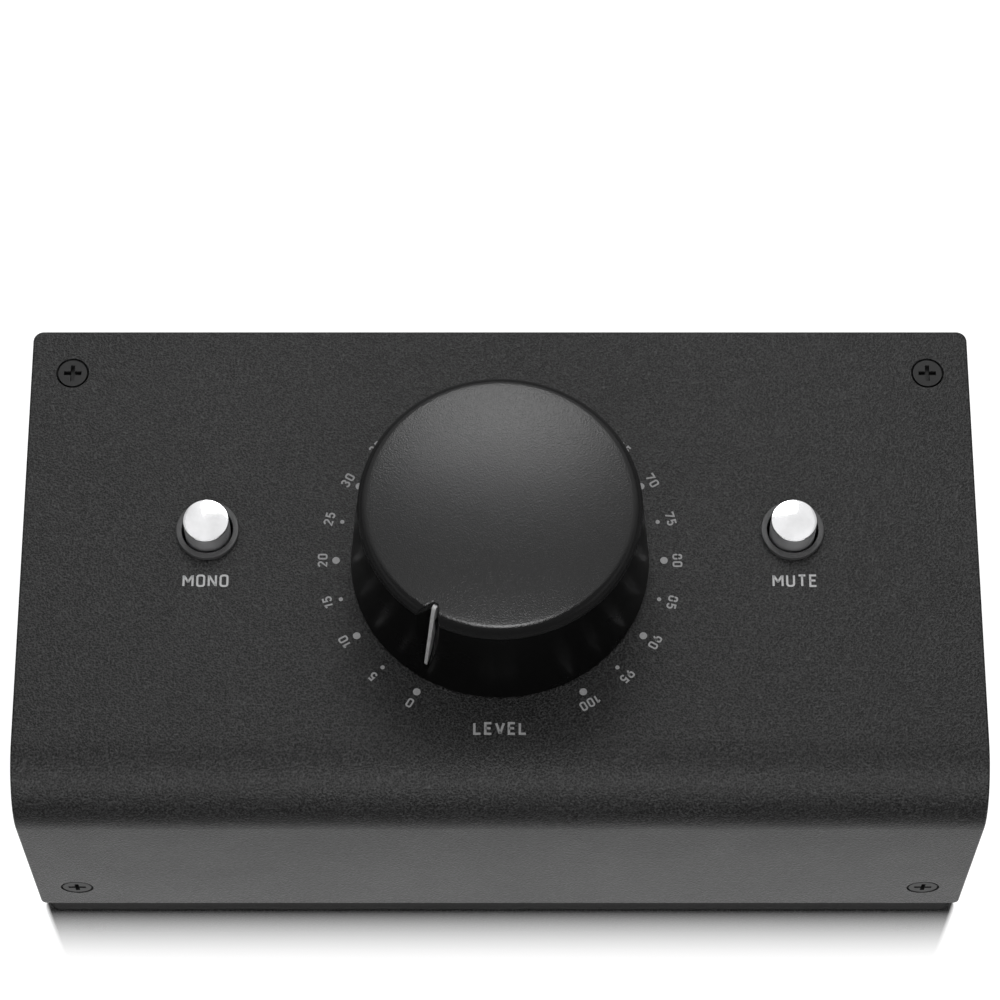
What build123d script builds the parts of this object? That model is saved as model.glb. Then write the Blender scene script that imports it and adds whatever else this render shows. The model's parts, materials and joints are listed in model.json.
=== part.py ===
from build123d import *

import os
from math import asin, cos, pi, radians, sin

# Passive desktop monitor controller: a cover bent once over a folded tray, a large level
# knob on a rotary potentiometer, two latching push buttons, and four round audio
# connectors in the rear wall.
# Millimetres, +Z up, the front faces -Y.  The origin is the centre of the casing's
# footprint, on the surface that the part stands on.

# How far a cut runs past the face that it opens, and a joined shape into its neighbour
CUT = 1.0
JOIN = 0.3

# Casing
CASE_WIDTH = 134.0
CASE_DEPTH = 72.6
PLATE_TOP = 43.0
PAD_HEIGHT = 2.0
PAD_CORNER = 2.0
COVER_SHEET = 2.0
BEND_RADIUS = 9.5
COVER_REAR_CORNER = 1.5
COVER_FRONT_CORNER = 1.0
COVER_EDGE = 0.3
TRAY_SHEET = 1.2
TRAY_INSET = 0.4
TRAY_GAP = 0.1
TRAY_CORNER = 1.5
FLANGE_HEIGHT = 13.0
TAB_WIDTH = 10.4
TAB_DEPTH = 10.7

FRONT = -CASE_DEPTH / 2
REAR = CASE_DEPTH / 2
HALF_WIDTH = CASE_WIDTH / 2
PLATE_UNDER = PLATE_TOP - COVER_SHEET
TRAY_HALF = HALF_WIDTH - TRAY_INSET
TRAY_REAR = REAR - TRAY_INSET
TRAY_FRONT = FRONT + COVER_SHEET + TRAY_GAP
TRAY_TOP = PLATE_UNDER - TRAY_GAP
TRAY_FLOOR = PAD_HEIGHT + TRAY_SHEET
WALL_INNER = TRAY_REAR - TRAY_SHEET

# Cover screws, M2.5 countersunk, and their clinch nuts
TOP_SCREW_X = 61.1
TOP_SCREW_Y = 29.6
FRONT_SCREW_X = 61.1
FRONT_SCREW_Z = 9.1
SINK_RADIUS = 2.35
SINK_WALL = 0.35
SCREW_HEAD_RADIUS = 2.05
SCREW_RIM = SINK_WALL + SINK_RADIUS - SCREW_HEAD_RADIUS
SCREW_HOLE_RADIUS = 1.4
SCREW_RADIUS = 1.23
SCREW_LENGTH = 6.0
SCREW_SUNK = 0.04
CROSS_LENGTH = 2.5
CROSS_WIDTH = 0.6
CROSS_DEPTH = 0.9
NUT_BORE_RADIUS = 1.25
NUT_SHANK_RADIUS = 2.1
NUT_FLANGE_RADIUS = 2.8
NUT_FLANGE_HEIGHT = 1.6

# Level knob, heights above the plate; the cap is KNOB_HEIGHT tall where its rounded rim
# begins and rises by the crown to its middle
KNOB_Y = 0.2
KNOB_GAP = 0.3
KNOB_BASE_RADIUS = 20.8
KNOB_RIM_RADIUS = 19.4
KNOB_SEAM = 17.2
KNOB_HEIGHT = 18.9
KNOB_CROWN = 0.8
KNOB_RIM_FILLET = 1.6
KNOB_WALL = 2.0
KNOB_DECK = 2.0
KNOB_HUB_RADIUS = 7.0
KNOB_HUB_BOTTOM = 6.0
KNOB_RIBS = 6
KNOB_RIB_WIDTH = 1.2
KNOB_RIB_BOTTOM = 10.0
CAP_SPIGOT_RADIUS = 16.0
CAP_SPIGOT_HEIGHT = 0.8
INSERT_RADIUS = 4.5
INSERT_TOP = 14.5

# Pointer notch, cut as by a large wheel whose hub is level with the cap's rim, so that
# the groove gets shallower down the side.  The pointer aims at the dial's zero, thirty
# degrees to the left of straight forward, which is at 270 degrees.
FORWARD = 270.0
DIAL_ZERO = 30.0
NOTCH_FLOOR_RADIUS = 17.2
NOTCH_WHEEL_RADIUS = 35.8
NOTCH_FLOOR_WIDTH = 0.74
NOTCH_MOUTH_WIDTH = 3.3
NOTCH_DEPTH = 1.9
NOTCH_REACH = 4.0
NOTCH_BACKING = (15.6, 18.6)
NOTCH_BACKING_WIDTH = 5.0
NOTCH_BACKING_BOTTOM = 4.5
POINTER_WIDTH = 0.6
POINTER_OUTLINE = [(16.4, 18.2), (17.4, 18.45), (17.78, 18.15), (20.42, 4.4), (19.4, 3.6), (17.4, 11.0)]

# Potentiometer, absolute heights
BUSHING_RADIUS = 4.5
BUSHING_BORE = 3.05
BUSHING_TOP = PLATE_TOP + 5.0
BUSHING_HOLE = 4.6
POT_FLANGE = 1.5
POT_TOP = PLATE_UNDER - POT_FLANGE
POT_RADIUS = 8.5
POT_WALL = 1.0
POT_BOTTOM = 29.0
POT_COVER = 0.8
LUG_OFFSET = 7.2
LUG_WIDTH = 1.6
LUG_THICKNESS = 0.9
LUG_TOP = PLATE_TOP - 0.4
LUG_HOLE = 1.2
SHAFT_RADIUS = 3.0
SHAFT_TOP = PLATE_TOP + 14.3
SHAFT_FLAT = 1.5
SHAFT_FLAT_BOTTOM = PLATE_TOP + 5.5
SHAFT_SHOULDER = 31.0
SHAFT_TAIL_RADIUS = 1.45
TAIL_BORE = 1.5
SHAFT_CLEARANCE = 0.02
NUT_ACROSS_FLATS = 12.0
NUT_HEIGHT = 2.0
NUT_THREAD_GAP = 0.02
WASHER_RADIUS = 7.0
WASHER_HEIGHT = 0.4
WAFER_RADIUS = 7.45
WAFER_BORE = 3.8
WAFER_THICKNESS = 0.8
WAFER_LEVELS = (31.0, 37.4)
TONGUE_HALF = 4.5
TONGUE_REACH = 9.6
TONGUE_GAP = 0.1
ROTOR_RADIUS = 6.4
ROTOR_LEVELS = ((32.8, 34.2), (35.0, 36.4))
STOP_LUG_RADIUS = 7.2
STOP_LUG_ANGLE = 20.0
STOP_RIB_RADIUS = 6.9
STOP_RIB_ANGLE = 28.0
TRACK_GAP = 0.05
WIPER_RADII = (4.9, 6.1)
WIPER_ANGLES = (60.0, 240.0)
WIPER_SPREAD = 24.0
TERMINAL_WIDTH = 0.8
TERMINAL_THICKNESS = 0.4
TERMINAL_PITCH = 2.5
TERMINAL_REACH = (9.9, 11.4)
PIN_BOTTOM = 26.1

# Push buttons, absolute heights
BUTTON_X = {"mono": -41.0, "mute": 41.0}
BUTTON_Y = 4.65
CAP_RADIUS = 3.2
CAP_TOP = PLATE_TOP + 3.85
CAP_BOTTOM = PLATE_TOP - 1.4
CAP_EDGE = 0.18
CAP_SOCKET_TOP = CAP_TOP - 1.6
BEZEL_RADIUS = 4.4
BEZEL_BORE = 3.6
BEZEL_HEIGHT = 0.75
BEZEL_EDGE = 0.1
BEZEL_NECK = 4.05
BEZEL_BARB = 4.25
BEZEL_BARB_GAP = 0.1
BEZEL_BOTTOM = PLATE_UNDER - 0.8
BEZEL_HOLE = 4.1
STEM_SIZE = 3.0
STEM_CLEARANCE = 0.1
STEM_TOP = CAP_SOCKET_TOP - 0.1
SWITCH_SIZE = 8.4
SWITCH_WALL = 0.9
SWITCH_TOP = 37.8
SLIDER_SIZE = 5.6
SLIDER_HEIGHTS = (33.9, 36.7)
CONTACT_THICKNESS = 0.25
CONTACT_HEIGHTS = (34.3, 35.6)
CONTACT_LENGTH = 4.0
SPRING_RADIUS = 1.5
SPRING_WIRE = 0.16
SPRING_TURNS = 5
SWITCH_PIN_RADIUS = 0.35
SWITCH_PIN_X = 2.5
SWITCH_PIN_ROWS = (-2.5, 0.0, 2.5)

# Boards
BOARD_THICKNESS = 1.6
CONTROL_BOARD = (27.0, 27.0 + BOARD_THICKNESS)
CONTROL_HALF = 54.5
CONTROL_FRONT = -13.0
CONTROL_REAR = 11.2
CONTROL_POST_X = 51.5
CONTROL_POST_YS = (-9.0, 7.0)
MAIN_BOARD = (4.8, 4.8 + BOARD_THICKNESS)
MAIN_HALF = 61.5
MAIN_FRONT = 4.0
MAIN_REAR = 32.4
MAIN_POST_X = 58.6
MAIN_POST_YS = (10.0, 28.0)
POST_RADIUS = 2.4
POST_BORE = 1.1
POST_DEPTH = 6.0
BOARD_SCREW_RADIUS = 1.08
BOARD_SCREW_HEAD = 2.1
BOARD_SCREW_HEAD_HEIGHT = 1.5
BOARD_SCREW_REACH = 5.0
BOARD_HOLE = 1.2
SOLDER_HOLE = 0.55

# Connectors on the rear wall
CONNECTOR_Z = 20.3
INPUT_X = {"left": 43.5, "right": 14.5}
OUTPUT_X = {"left": -14.5, "right": -43.5}
CONNECTOR_HOLE = 12.0
BOSS_RADIUS = 11.9
FLANGE_HALF_WIDTH = 13.0
FLANGE_HALF_HEIGHT = 15.5
FLANGE_FRONT = WALL_INNER - 2.0
BODY_HALF_WIDTH = 12.0
BODY_HALF_HEIGHT = CONNECTOR_Z - MAIN_BOARD[1]
INPUT_BODY_FRONT = 16.0
JACK_HALF = 5.45
JACK_FRONT = 3.5
JACK_RADIUS = 3.25
JACK_DEPTH = 31.5
GROOVE_RADII = (7.9, 9.75)
GROOVE_DEPTH = 12.0
SOCKET_CIRCLE = 6.0
SOCKET_RADIUS = 1.35
SOCKET_BORE = 1.22
SOCKET_DEPTH = 13.0
SOCKET_SETBACK = 1.0
SOCKET_ANGLES = (45.0, 135.0, 270.0)
LEAF_HALF_WIDTH = 1.0
LEAF_SLOT_HALF = 1.1
LEAF_SLOT_TOP = 4.3
LEAF_SLOT_GAP = 0.1
LEAF_HEIGHTS = (3.5, 3.8)
LEAF_SPANS = ((5.5, 9.0), (10.5, 14.0), (17.5, 22.0))
INPUT_PIN_RADIUS = 0.4
INPUT_PIN_XS = (-7.5, -2.5, 2.5, 7.5)
INPUT_PIN_YS = (20.0, 28.0)
INPUT_PIN_TOP = MAIN_BOARD[1] + 1.0
CAVITY_RADIUS = 9.75
CAVITY_FLOOR = 20.3
OUTPUT_BODY_FRONT = 15.0
INSERT_DISC_RADIUS = 9.7
XLR_PIN_RADIUS = 1.2
XLR_PIN_REACH = (13.8, 34.3)
TAIL_THICKNESS = 0.6
TAIL_WIDTH = 0.8
SOLDER_BOTTOM = 4.1
WALL_SCREW_OFFSETS = ((-9.5, 12.0), (9.5, -12.0))
WALL_SCREW_HOLE = 1.6
WALL_SCREW_RADIUS = 1.45
WALL_SCREW_BORE = 1.47
WALL_SCREW_END = 27.5
WALL_SCREW_HEAD = 2.75
WALL_SCREW_HEAD_HEIGHT = 1.7
WALL_SCREW_CROSS = 3.2
WALL_SCREW_SLOT = 0.7

# Ribbon cable, headers and resistors
RIBBON_X = -15.0
RIBBON_WIDTH = 12.7
RIBBON_THICKNESS = 1.0
RIBBON_BEND = 3.2
HEADER_SIZE = (14.5, 5.4, 6.0)
CONTROL_HEADER_Y = -5.0
MAIN_HEADER_Y = 9.0
RESISTOR_COUNT = 6
RESISTOR_FIRST_X = -54.0
RESISTOR_PITCH = 5.0
RESISTOR_Y = 9.2
RESISTOR_LENGTH = 6.0
RESISTOR_RADIUS = 1.2
RESISTOR_LIFT = 1.4
LEAD_RADIUS = 0.3
LEAD_PITCH = 7.2


# ---- helpers ----

def block(x, y, z):
    """Box between a low and a high value on each axis."""
    centre = ((x[0] + x[1]) / 2, (y[0] + y[1]) / 2, (z[0] + z[1]) / 2)
    return Pos(*centre) * Box(x[1] - x[0], y[1] - y[0], z[1] - z[0])


def post(radius, x, y, z):
    """Upright cylinder at x, y between a low and a high z."""
    return Pos(x, y, (z[0] + z[1]) / 2) * Cylinder(radius, z[1] - z[0])


def barrel(radius, x, y, z):
    """Cylinder along Y at x, z between a low and a high y."""
    return Pos(x, (y[0] + y[1]) / 2, z) * Rot(90, 0, 0) * Cylinder(radius, y[1] - y[0])


def turned(outline, x=0.0, y=0.0, z=0.0):
    """Solid of revolution about an upright axis from a closed (radius, height) outline."""
    face = make_face(Plane.XZ * Polyline(*outline, close=True))
    return Pos(x, y, z) * revolve(face, Axis.Z)


def arc_point(centre, radius, tilt):
    """Point of a circle in an upright section, at a tilt in radians from the circle's top."""
    return (centre[0] + radius * sin(tilt), centre[1] + radius * cos(tilt))


def sector(inner, outer, middle, angle, z):
    """Upright ring segment about the knob's axis, centred on a direction in degrees."""
    start = middle - angle / 2
    ring = post(outer, 0, 0, z) - post(inner, 0, 0, z)
    wedge_side = outer / cos(radians(angle / 2)) + CUT
    ends = [(wedge_side * cos(radians(a)), wedge_side * sin(radians(a))) for a in (start, start + angle)]
    wedge = extrude(make_face(Polyline((0, 0), *ends, close=True)), z[1])
    return Pos(0, KNOB_Y, 0) * (ring & wedge)


def group(solids):
    """Separate solids kept together in one node."""
    return Compound(list(solids))


def socket_places(x):
    """Centres of the three round contacts of a connector at x, as (x, z)."""
    return [
        (x + SOCKET_CIRCLE * cos(radians(a)), CONNECTOR_Z + SOCKET_CIRCLE * sin(radians(a)))
        for a in SOCKET_ANGLES
    ]


# ---- casing ----

def make_base_pad():
    """Non-slip rubber sheet under the whole tray."""
    pad = block((-TRAY_HALF, TRAY_HALF), (-TRAY_REAR, TRAY_REAR), (0, PAD_HEIGHT))
    return fillet(pad.edges().filter_by(Axis.Z), PAD_CORNER)


def make_base_chassis():
    """Folded tray: floor, sides, rear wall, low front flange and two rear corner tabs."""
    tray = block((-TRAY_HALF, TRAY_HALF), (TRAY_FRONT, TRAY_REAR), (PAD_HEIGHT, TRAY_TOP))
    bend = tray.edges().filter_by(Axis.X).group_by(Axis.Y)[0].sort_by(Axis.Z)[-1]
    tray = fillet(bend, BEND_RADIUS - COVER_SHEET - TRAY_GAP)
    tray = fillet(tray.edges().filter_by(Axis.Z).group_by(Axis.Y)[-1], TRAY_CORNER)
    inner = (-TRAY_HALF + TRAY_SHEET, TRAY_HALF - TRAY_SHEET)
    flange_back = TRAY_FRONT + TRAY_SHEET
    tray -= block(inner, (flange_back, WALL_INNER), (TRAY_FLOOR, PLATE_TOP))
    tray -= block(inner, (FRONT, flange_back), (PAD_HEIGHT + FLANGE_HEIGHT, PLATE_TOP))
    for side in (-1, 1):
        tab_x = sorted((side * (TRAY_HALF - TRAY_SHEET - TAB_WIDTH), side * (TRAY_HALF - TRAY_SHEET)))
        tray += block(tab_x, (WALL_INNER - TAB_DEPTH, WALL_INNER), (TRAY_TOP - TRAY_SHEET, TRAY_TOP))
    for side in (-1, 1):
        tab_z = (TRAY_TOP - TRAY_SHEET - CUT, PLATE_TOP)
        tray -= post(NUT_SHANK_RADIUS, side * TOP_SCREW_X, TOP_SCREW_Y, tab_z)
        tray -= barrel(NUT_SHANK_RADIUS, side * FRONT_SCREW_X, (FRONT, flange_back + CUT), FRONT_SCREW_Z)
    for x in [*INPUT_X.values(), *OUTPUT_X.values()]:
        tray -= barrel(CONNECTOR_HOLE, x, (WALL_INNER - CUT, REAR), CONNECTOR_Z)
        for dx, dz in WALL_SCREW_OFFSETS:
            tray -= barrel(WALL_SCREW_HOLE, x + dx, (WALL_INNER - CUT, REAR), CONNECTOR_Z + dz)
    return tray


def make_top_cover():
    """Sheet bent once, so that the top and the front face are one piece."""
    outer = block((-HALF_WIDTH, HALF_WIDTH), (FRONT, REAR), (PAD_HEIGHT, PLATE_TOP))
    bend = outer.edges().filter_by(Axis.X).group_by(Axis.Y)[0].sort_by(Axis.Z)[-1]
    outer = fillet(bend, BEND_RADIUS)
    inner_y = (FRONT + COVER_SHEET, REAR + CUT)
    inner = block((-CASE_WIDTH, CASE_WIDTH), inner_y, (PAD_HEIGHT - CUT, PLATE_UNDER))
    inner_bend = inner.edges().filter_by(Axis.X).group_by(Axis.Y)[0].sort_by(Axis.Z)[-1]
    inner = fillet(inner_bend, BEND_RADIUS - COVER_SHEET)
    cover = outer - inner
    cover = fillet(cover.edges().filter_by(Axis.Z).group_by(Axis.Y)[-1], COVER_REAR_CORNER)
    cover = fillet(cover.edges().filter_by(Axis.Y).group_by(Axis.Z)[0], COVER_FRONT_CORNER)
    rim = cover.faces().sort_by(Axis.Z)[-1].outer_wire().edges().filter_by(Axis.X, reverse=True)
    cover = fillet(rim.sort_by(Axis.Y)[-1], COVER_EDGE)
    cover -= post(BUSHING_HOLE, 0, KNOB_Y, (PLATE_UNDER - CUT, PLATE_TOP + CUT))
    cover -= post(LUG_HOLE, 0, KNOB_Y - LUG_OFFSET, (PLATE_UNDER - CUT, PLATE_TOP + CUT))
    for x in BUTTON_X.values():
        cover -= post(BEZEL_HOLE, x, BUTTON_Y, (PLATE_UNDER - CUT, PLATE_TOP + CUT))
    for side in (-1, 1):
        cover -= countersink().moved(Location((side * TOP_SCREW_X, TOP_SCREW_Y, PLATE_TOP)))
        cover -= countersink().moved(Location((side * FRONT_SCREW_X, FRONT, FRONT_SCREW_Z), (90, 0, 0)))
    return cover


def countersink():
    """Short straight wall, cone and clearance hole for one cover screw, cut downwards from z = 0."""
    cone_depth = SINK_WALL + SINK_RADIUS - SCREW_HOLE_RADIUS
    depth = COVER_SHEET + CUT
    outline = [
        (0, CUT),
        (SINK_RADIUS, CUT),
        (SINK_RADIUS, -SINK_WALL),
        (SCREW_HOLE_RADIUS, -cone_depth),
        (SCREW_HOLE_RADIUS, -depth),
        (0, -depth),
    ]
    return turned(outline)


def cover_screw():
    """Countersunk screw with a cross recess, head up at z = 0; a groove is left open round its rim."""
    cone_depth = SCREW_RIM + SCREW_HEAD_RADIUS - SCREW_RADIUS
    outline = [
        (0, -SCREW_SUNK),
        (SCREW_HEAD_RADIUS, -SCREW_SUNK),
        (SCREW_HEAD_RADIUS, -SCREW_RIM),
        (SCREW_RADIUS, -cone_depth),
        (SCREW_RADIUS, -SCREW_LENGTH),
        (0, -SCREW_LENGTH),
    ]
    screw = turned(outline)
    half, slot = CROSS_LENGTH / 2, CROSS_WIDTH / 2
    screw -= block((-half, half), (-slot, slot), (-CROSS_DEPTH, 0))
    screw -= block((-slot, slot), (-half, half), (-CROSS_DEPTH, 0))
    return screw


def make_cover_screws_top():
    """Two screws at the rear corners of the top."""
    places = [Location((side * TOP_SCREW_X, TOP_SCREW_Y, PLATE_TOP)) for side in (-1, 1)]
    return group(cover_screw().moved(place) for place in places)


def make_cover_screws_front():
    """Two screws at the lower corners of the front face."""
    places = [Location((side * FRONT_SCREW_X, FRONT, FRONT_SCREW_Z), (90, 0, 0)) for side in (-1, 1)]
    return group(cover_screw().moved(place) for place in places)


def clinch_nut():
    """Round clinch nut, its shank up at z = 0 and its flange below."""
    flange_top = -TRAY_SHEET
    flange_bottom = flange_top - NUT_FLANGE_HEIGHT
    nut = post(NUT_SHANK_RADIUS, 0, 0, (flange_top, 0))
    nut += post(NUT_FLANGE_RADIUS, 0, 0, (flange_bottom, flange_top))
    return nut - post(NUT_BORE_RADIUS, 0, 0, (flange_bottom - CUT, CUT))


def make_cover_clinch_nuts():
    """Four nuts pressed into the tray's tabs and front flange."""
    places = []
    for side in (-1, 1):
        places.append(Location((side * TOP_SCREW_X, TOP_SCREW_Y, TRAY_TOP)))
        places.append(Location((side * FRONT_SCREW_X, TRAY_FRONT, FRONT_SCREW_Z), (90, 0, 0)))
    return group(clinch_nut().moved(place) for place in places)


# ---- level knob ----

def notch_cutter():
    """Rim of a wheel with a narrow flat edge and slanting flanks, lying across the knob."""
    spread = (NOTCH_MOUTH_WIDTH - NOTCH_FLOOR_WIDTH) / 2 / NOTCH_DEPTH
    edge = NOTCH_FLOOR_WIDTH / 2
    root = edge + spread * NOTCH_REACH
    inner = NOTCH_WHEEL_RADIUS - NOTCH_REACH
    wheel = turned([(NOTCH_WHEEL_RADIUS, -edge), (NOTCH_WHEEL_RADIUS, edge), (inner, root), (inner, -root)])
    hub = Pos(-NOTCH_FLOOR_RADIUS - NOTCH_WHEEL_RADIUS, 0, KNOB_HEIGHT) * Rot(90, 0, 0)
    return Pos(0, KNOB_Y, PLATE_TOP) * Rot(0, 0, 90 - DIAL_ZERO) * hub * wheel


def make_knob_pointer():
    """Thin upright blade lying in the notch, its foot let into the knob."""
    outline = [(-radius, height) for radius, height in POINTER_OUTLINE]
    face = make_face(Plane.XZ * Polyline(*outline, close=True))
    blade = extrude(face, POINTER_WIDTH / 2, both=True)
    return Pos(0, KNOB_Y, PLATE_TOP) * Rot(0, 0, 90 - DIAL_ZERO) * blade


def make_knob_body():
    """Tapered glossy shell with a deck, a hub, stiffening ribs and a thick place at the notch."""
    slope = (KNOB_BASE_RADIUS - KNOB_RIM_RADIUS) / (KNOB_SEAM - KNOB_GAP)
    deck_under = KNOB_SEAM - KNOB_DECK
    inner_top = KNOB_BASE_RADIUS - slope * (deck_under - KNOB_GAP) - KNOB_WALL
    outline = [
        (KNOB_BASE_RADIUS, KNOB_GAP),
        (KNOB_RIM_RADIUS, KNOB_SEAM),
        (CAP_SPIGOT_RADIUS, KNOB_SEAM),
        (CAP_SPIGOT_RADIUS, KNOB_SEAM - CAP_SPIGOT_HEIGHT),
        (0, KNOB_SEAM - CAP_SPIGOT_HEIGHT),
        (0, INSERT_TOP),
        (INSERT_RADIUS, INSERT_TOP),
        (INSERT_RADIUS, KNOB_HUB_BOTTOM),
        (KNOB_HUB_RADIUS, KNOB_HUB_BOTTOM),
        (KNOB_HUB_RADIUS, deck_under),
        (inner_top, deck_under),
        (KNOB_BASE_RADIUS - KNOB_WALL, KNOB_GAP),
    ]
    knob = turned(outline)
    rib_y = (-KNOB_RIB_WIDTH / 2, KNOB_RIB_WIDTH / 2)
    rib = block((KNOB_HUB_RADIUS - JOIN, inner_top + JOIN), rib_y, (KNOB_RIB_BOTTOM, deck_under))
    for turn in range(KNOB_RIBS):
        knob += Rot(0, 0, turn * 360 / KNOB_RIBS) * rib
    backing_y = (-NOTCH_BACKING_WIDTH / 2, NOTCH_BACKING_WIDTH / 2)
    backing = block(NOTCH_BACKING, backing_y, (NOTCH_BACKING_BOTTOM, deck_under))
    knob += Rot(0, 0, FORWARD - DIAL_ZERO) * backing
    return Pos(0, KNOB_Y, PLATE_TOP) * knob - notch_cutter() - make_knob_pointer()


def make_knob_cap():
    """Matt top disc, crowned like a shallow dome, with a rounded rim and a spigot in the deck."""
    rim_start = KNOB_RIM_RADIUS - KNOB_RIM_FILLET
    dome_radius = (rim_start**2 + KNOB_CROWN**2) / (2 * KNOB_CROWN)
    top = KNOB_HEIGHT + KNOB_CROWN
    dome_centre = (0, top - dome_radius)
    tilt = asin(rim_start / (dome_radius - KNOB_RIM_FILLET))
    rim_centre = (rim_start, dome_centre[1] + (dome_radius - KNOB_RIM_FILLET) * cos(tilt))
    join = arc_point(dome_centre, dome_radius, tilt)
    side = arc_point(rim_centre, KNOB_RIM_FILLET, pi / 2)
    low = KNOB_SEAM - CAP_SPIGOT_HEIGHT
    steps = [(CAP_SPIGOT_RADIUS, low), (CAP_SPIGOT_RADIUS, KNOB_SEAM), (KNOB_RIM_RADIUS, KNOB_SEAM)]
    outline = Polyline((0, top), (0, low), *steps, side)
    outline += ThreePointArc(side, arc_point(rim_centre, KNOB_RIM_FILLET, (tilt + pi / 2) / 2), join)
    outline += ThreePointArc(join, arc_point(dome_centre, dome_radius, tilt / 2), (0, top))
    cap = revolve(make_face(Plane.XZ * outline), Axis.Z)
    return Pos(0, KNOB_Y, PLATE_TOP) * cap - notch_cutter() - make_knob_pointer()


def d_bar(clearance, z):
    """Upright bar on the knob's axis, flat at the back, as large as the shaft plus a clearance."""
    radius = SHAFT_RADIUS + clearance
    flat_y = KNOB_Y + SHAFT_FLAT + clearance
    return post(radius, 0, KNOB_Y, z) - block((-radius, radius), (flat_y, KNOB_Y + radius), z)


def make_knob_insert():
    """Brass sleeve with a D-shaped bore."""
    z = (PLATE_TOP + KNOB_HUB_BOTTOM, PLATE_TOP + INSERT_TOP)
    return post(INSERT_RADIUS, 0, KNOB_Y, z) - d_bar(SHAFT_CLEARANCE, (z[0] - CUT, z[1] + CUT))


# ---- potentiometer ----

def make_pot_shaft():
    """Steel shaft with a flat at its top and a thin tail in the rear cover."""
    shaft = post(SHAFT_RADIUS, 0, KNOB_Y, (SHAFT_SHOULDER, SHAFT_FLAT_BOTTOM))
    shaft += d_bar(0, (SHAFT_FLAT_BOTTOM, SHAFT_TOP))
    return shaft + post(SHAFT_TAIL_RADIUS, 0, KNOB_Y, (POT_BOTTOM, SHAFT_SHOULDER))


def make_pot_bushing():
    """Threaded bushing on a round flange, with a lug that stops it turning in the plate."""
    bushing = post(BUSHING_RADIUS, 0, KNOB_Y, (POT_TOP, BUSHING_TOP))
    bushing += post(POT_RADIUS, 0, KNOB_Y, (POT_TOP, PLATE_UNDER))
    lug_x = (-LUG_WIDTH / 2, LUG_WIDTH / 2)
    lug_y = (KNOB_Y - LUG_OFFSET - LUG_THICKNESS / 2, KNOB_Y - LUG_OFFSET + LUG_THICKNESS / 2)
    bushing += block(lug_x, lug_y, (POT_TOP, LUG_TOP))
    return bushing - post(BUSHING_BORE, 0, KNOB_Y, (POT_TOP - CUT, BUSHING_TOP + CUT))


def make_pot_washer():
    """Flat washer between the plate and the nut."""
    z = (PLATE_TOP, PLATE_TOP + WASHER_HEIGHT)
    return post(WASHER_RADIUS, 0, KNOB_Y, z) - post(BUSHING_HOLE, 0, KNOB_Y, z)


def make_pot_nut():
    """Hexagon nut on the bushing."""
    bottom = PLATE_TOP + WASHER_HEIGHT
    hexagon = RegularPolygon(NUT_ACROSS_FLATS / 2, 6, major_radius=False)
    nut = Pos(0, KNOB_Y, bottom) * extrude(hexagon, NUT_HEIGHT)
    return nut - post(BUSHING_RADIUS + NUT_THREAD_GAP, 0, KNOB_Y, (bottom - CUT, bottom + NUT_HEIGHT + CUT))


def make_pot_housing():
    """Round wall of the potentiometer, with slots for the wafers and an end stop."""
    z = (POT_BOTTOM + POT_COVER, POT_TOP)
    bore = POT_RADIUS - POT_WALL
    housing = post(POT_RADIUS, 0, KNOB_Y, z) - post(bore, 0, KNOB_Y, z)
    for level in WAFER_LEVELS:
        half = TONGUE_HALF + TONGUE_GAP
        slot_z = (level, level + WAFER_THICKNESS + TERMINAL_THICKNESS + TONGUE_GAP)
        housing -= block((-half, half), (KNOB_Y - POT_RADIUS - CUT, KNOB_Y), slot_z)
    return housing + sector(STOP_RIB_RADIUS, bore, FORWARD, STOP_RIB_ANGLE, ROTOR_LEVELS[1])


def make_pot_rear_cover():
    """Metal disc that closes the potentiometer and carries the shaft's tail."""
    z = (POT_BOTTOM, POT_BOTTOM + POT_COVER)
    return post(POT_RADIUS, 0, KNOB_Y, z) - post(TAIL_BORE, 0, KNOB_Y, z)


def make_pot_track_wafers():
    """Two resistive track rings, each with a tongue for its terminals."""
    wafers = []
    for level in WAFER_LEVELS:
        z = (level, level + WAFER_THICKNESS)
        wafer = post(WAFER_RADIUS, 0, KNOB_Y, z)
        wafer += block((-TONGUE_HALF, TONGUE_HALF), (KNOB_Y - TONGUE_REACH, KNOB_Y - WAFER_BORE), z)
        wafers.append(wafer - post(WAFER_BORE, 0, KNOB_Y, z))
    return group(wafers)


def make_pot_rotor(level, with_stop):
    """Plastic disc on the shaft that carries the wipers of one track."""
    z = ROTOR_LEVELS[level]
    rotor = post(ROTOR_RADIUS, 0, KNOB_Y, z)
    if with_stop:
        rotor += sector(ROTOR_RADIUS, STOP_LUG_RADIUS, FORWARD - DIAL_ZERO, STOP_LUG_ANGLE, z)
    return rotor - post(SHAFT_RADIUS, 0, KNOB_Y, z)


def make_pot_wipers():
    """Four spring contacts, two on each rotor, just clear of the tracks."""
    low = (WAFER_LEVELS[0] + WAFER_THICKNESS + TRACK_GAP, ROTOR_LEVELS[0][0])
    high = (ROTOR_LEVELS[1][1], WAFER_LEVELS[1] - TRACK_GAP)
    places = [(angle, z) for z in (low, high) for angle in WIPER_ANGLES]
    return group(sector(*WIPER_RADII, angle, WIPER_SPREAD, z) for angle, z in places)


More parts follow.
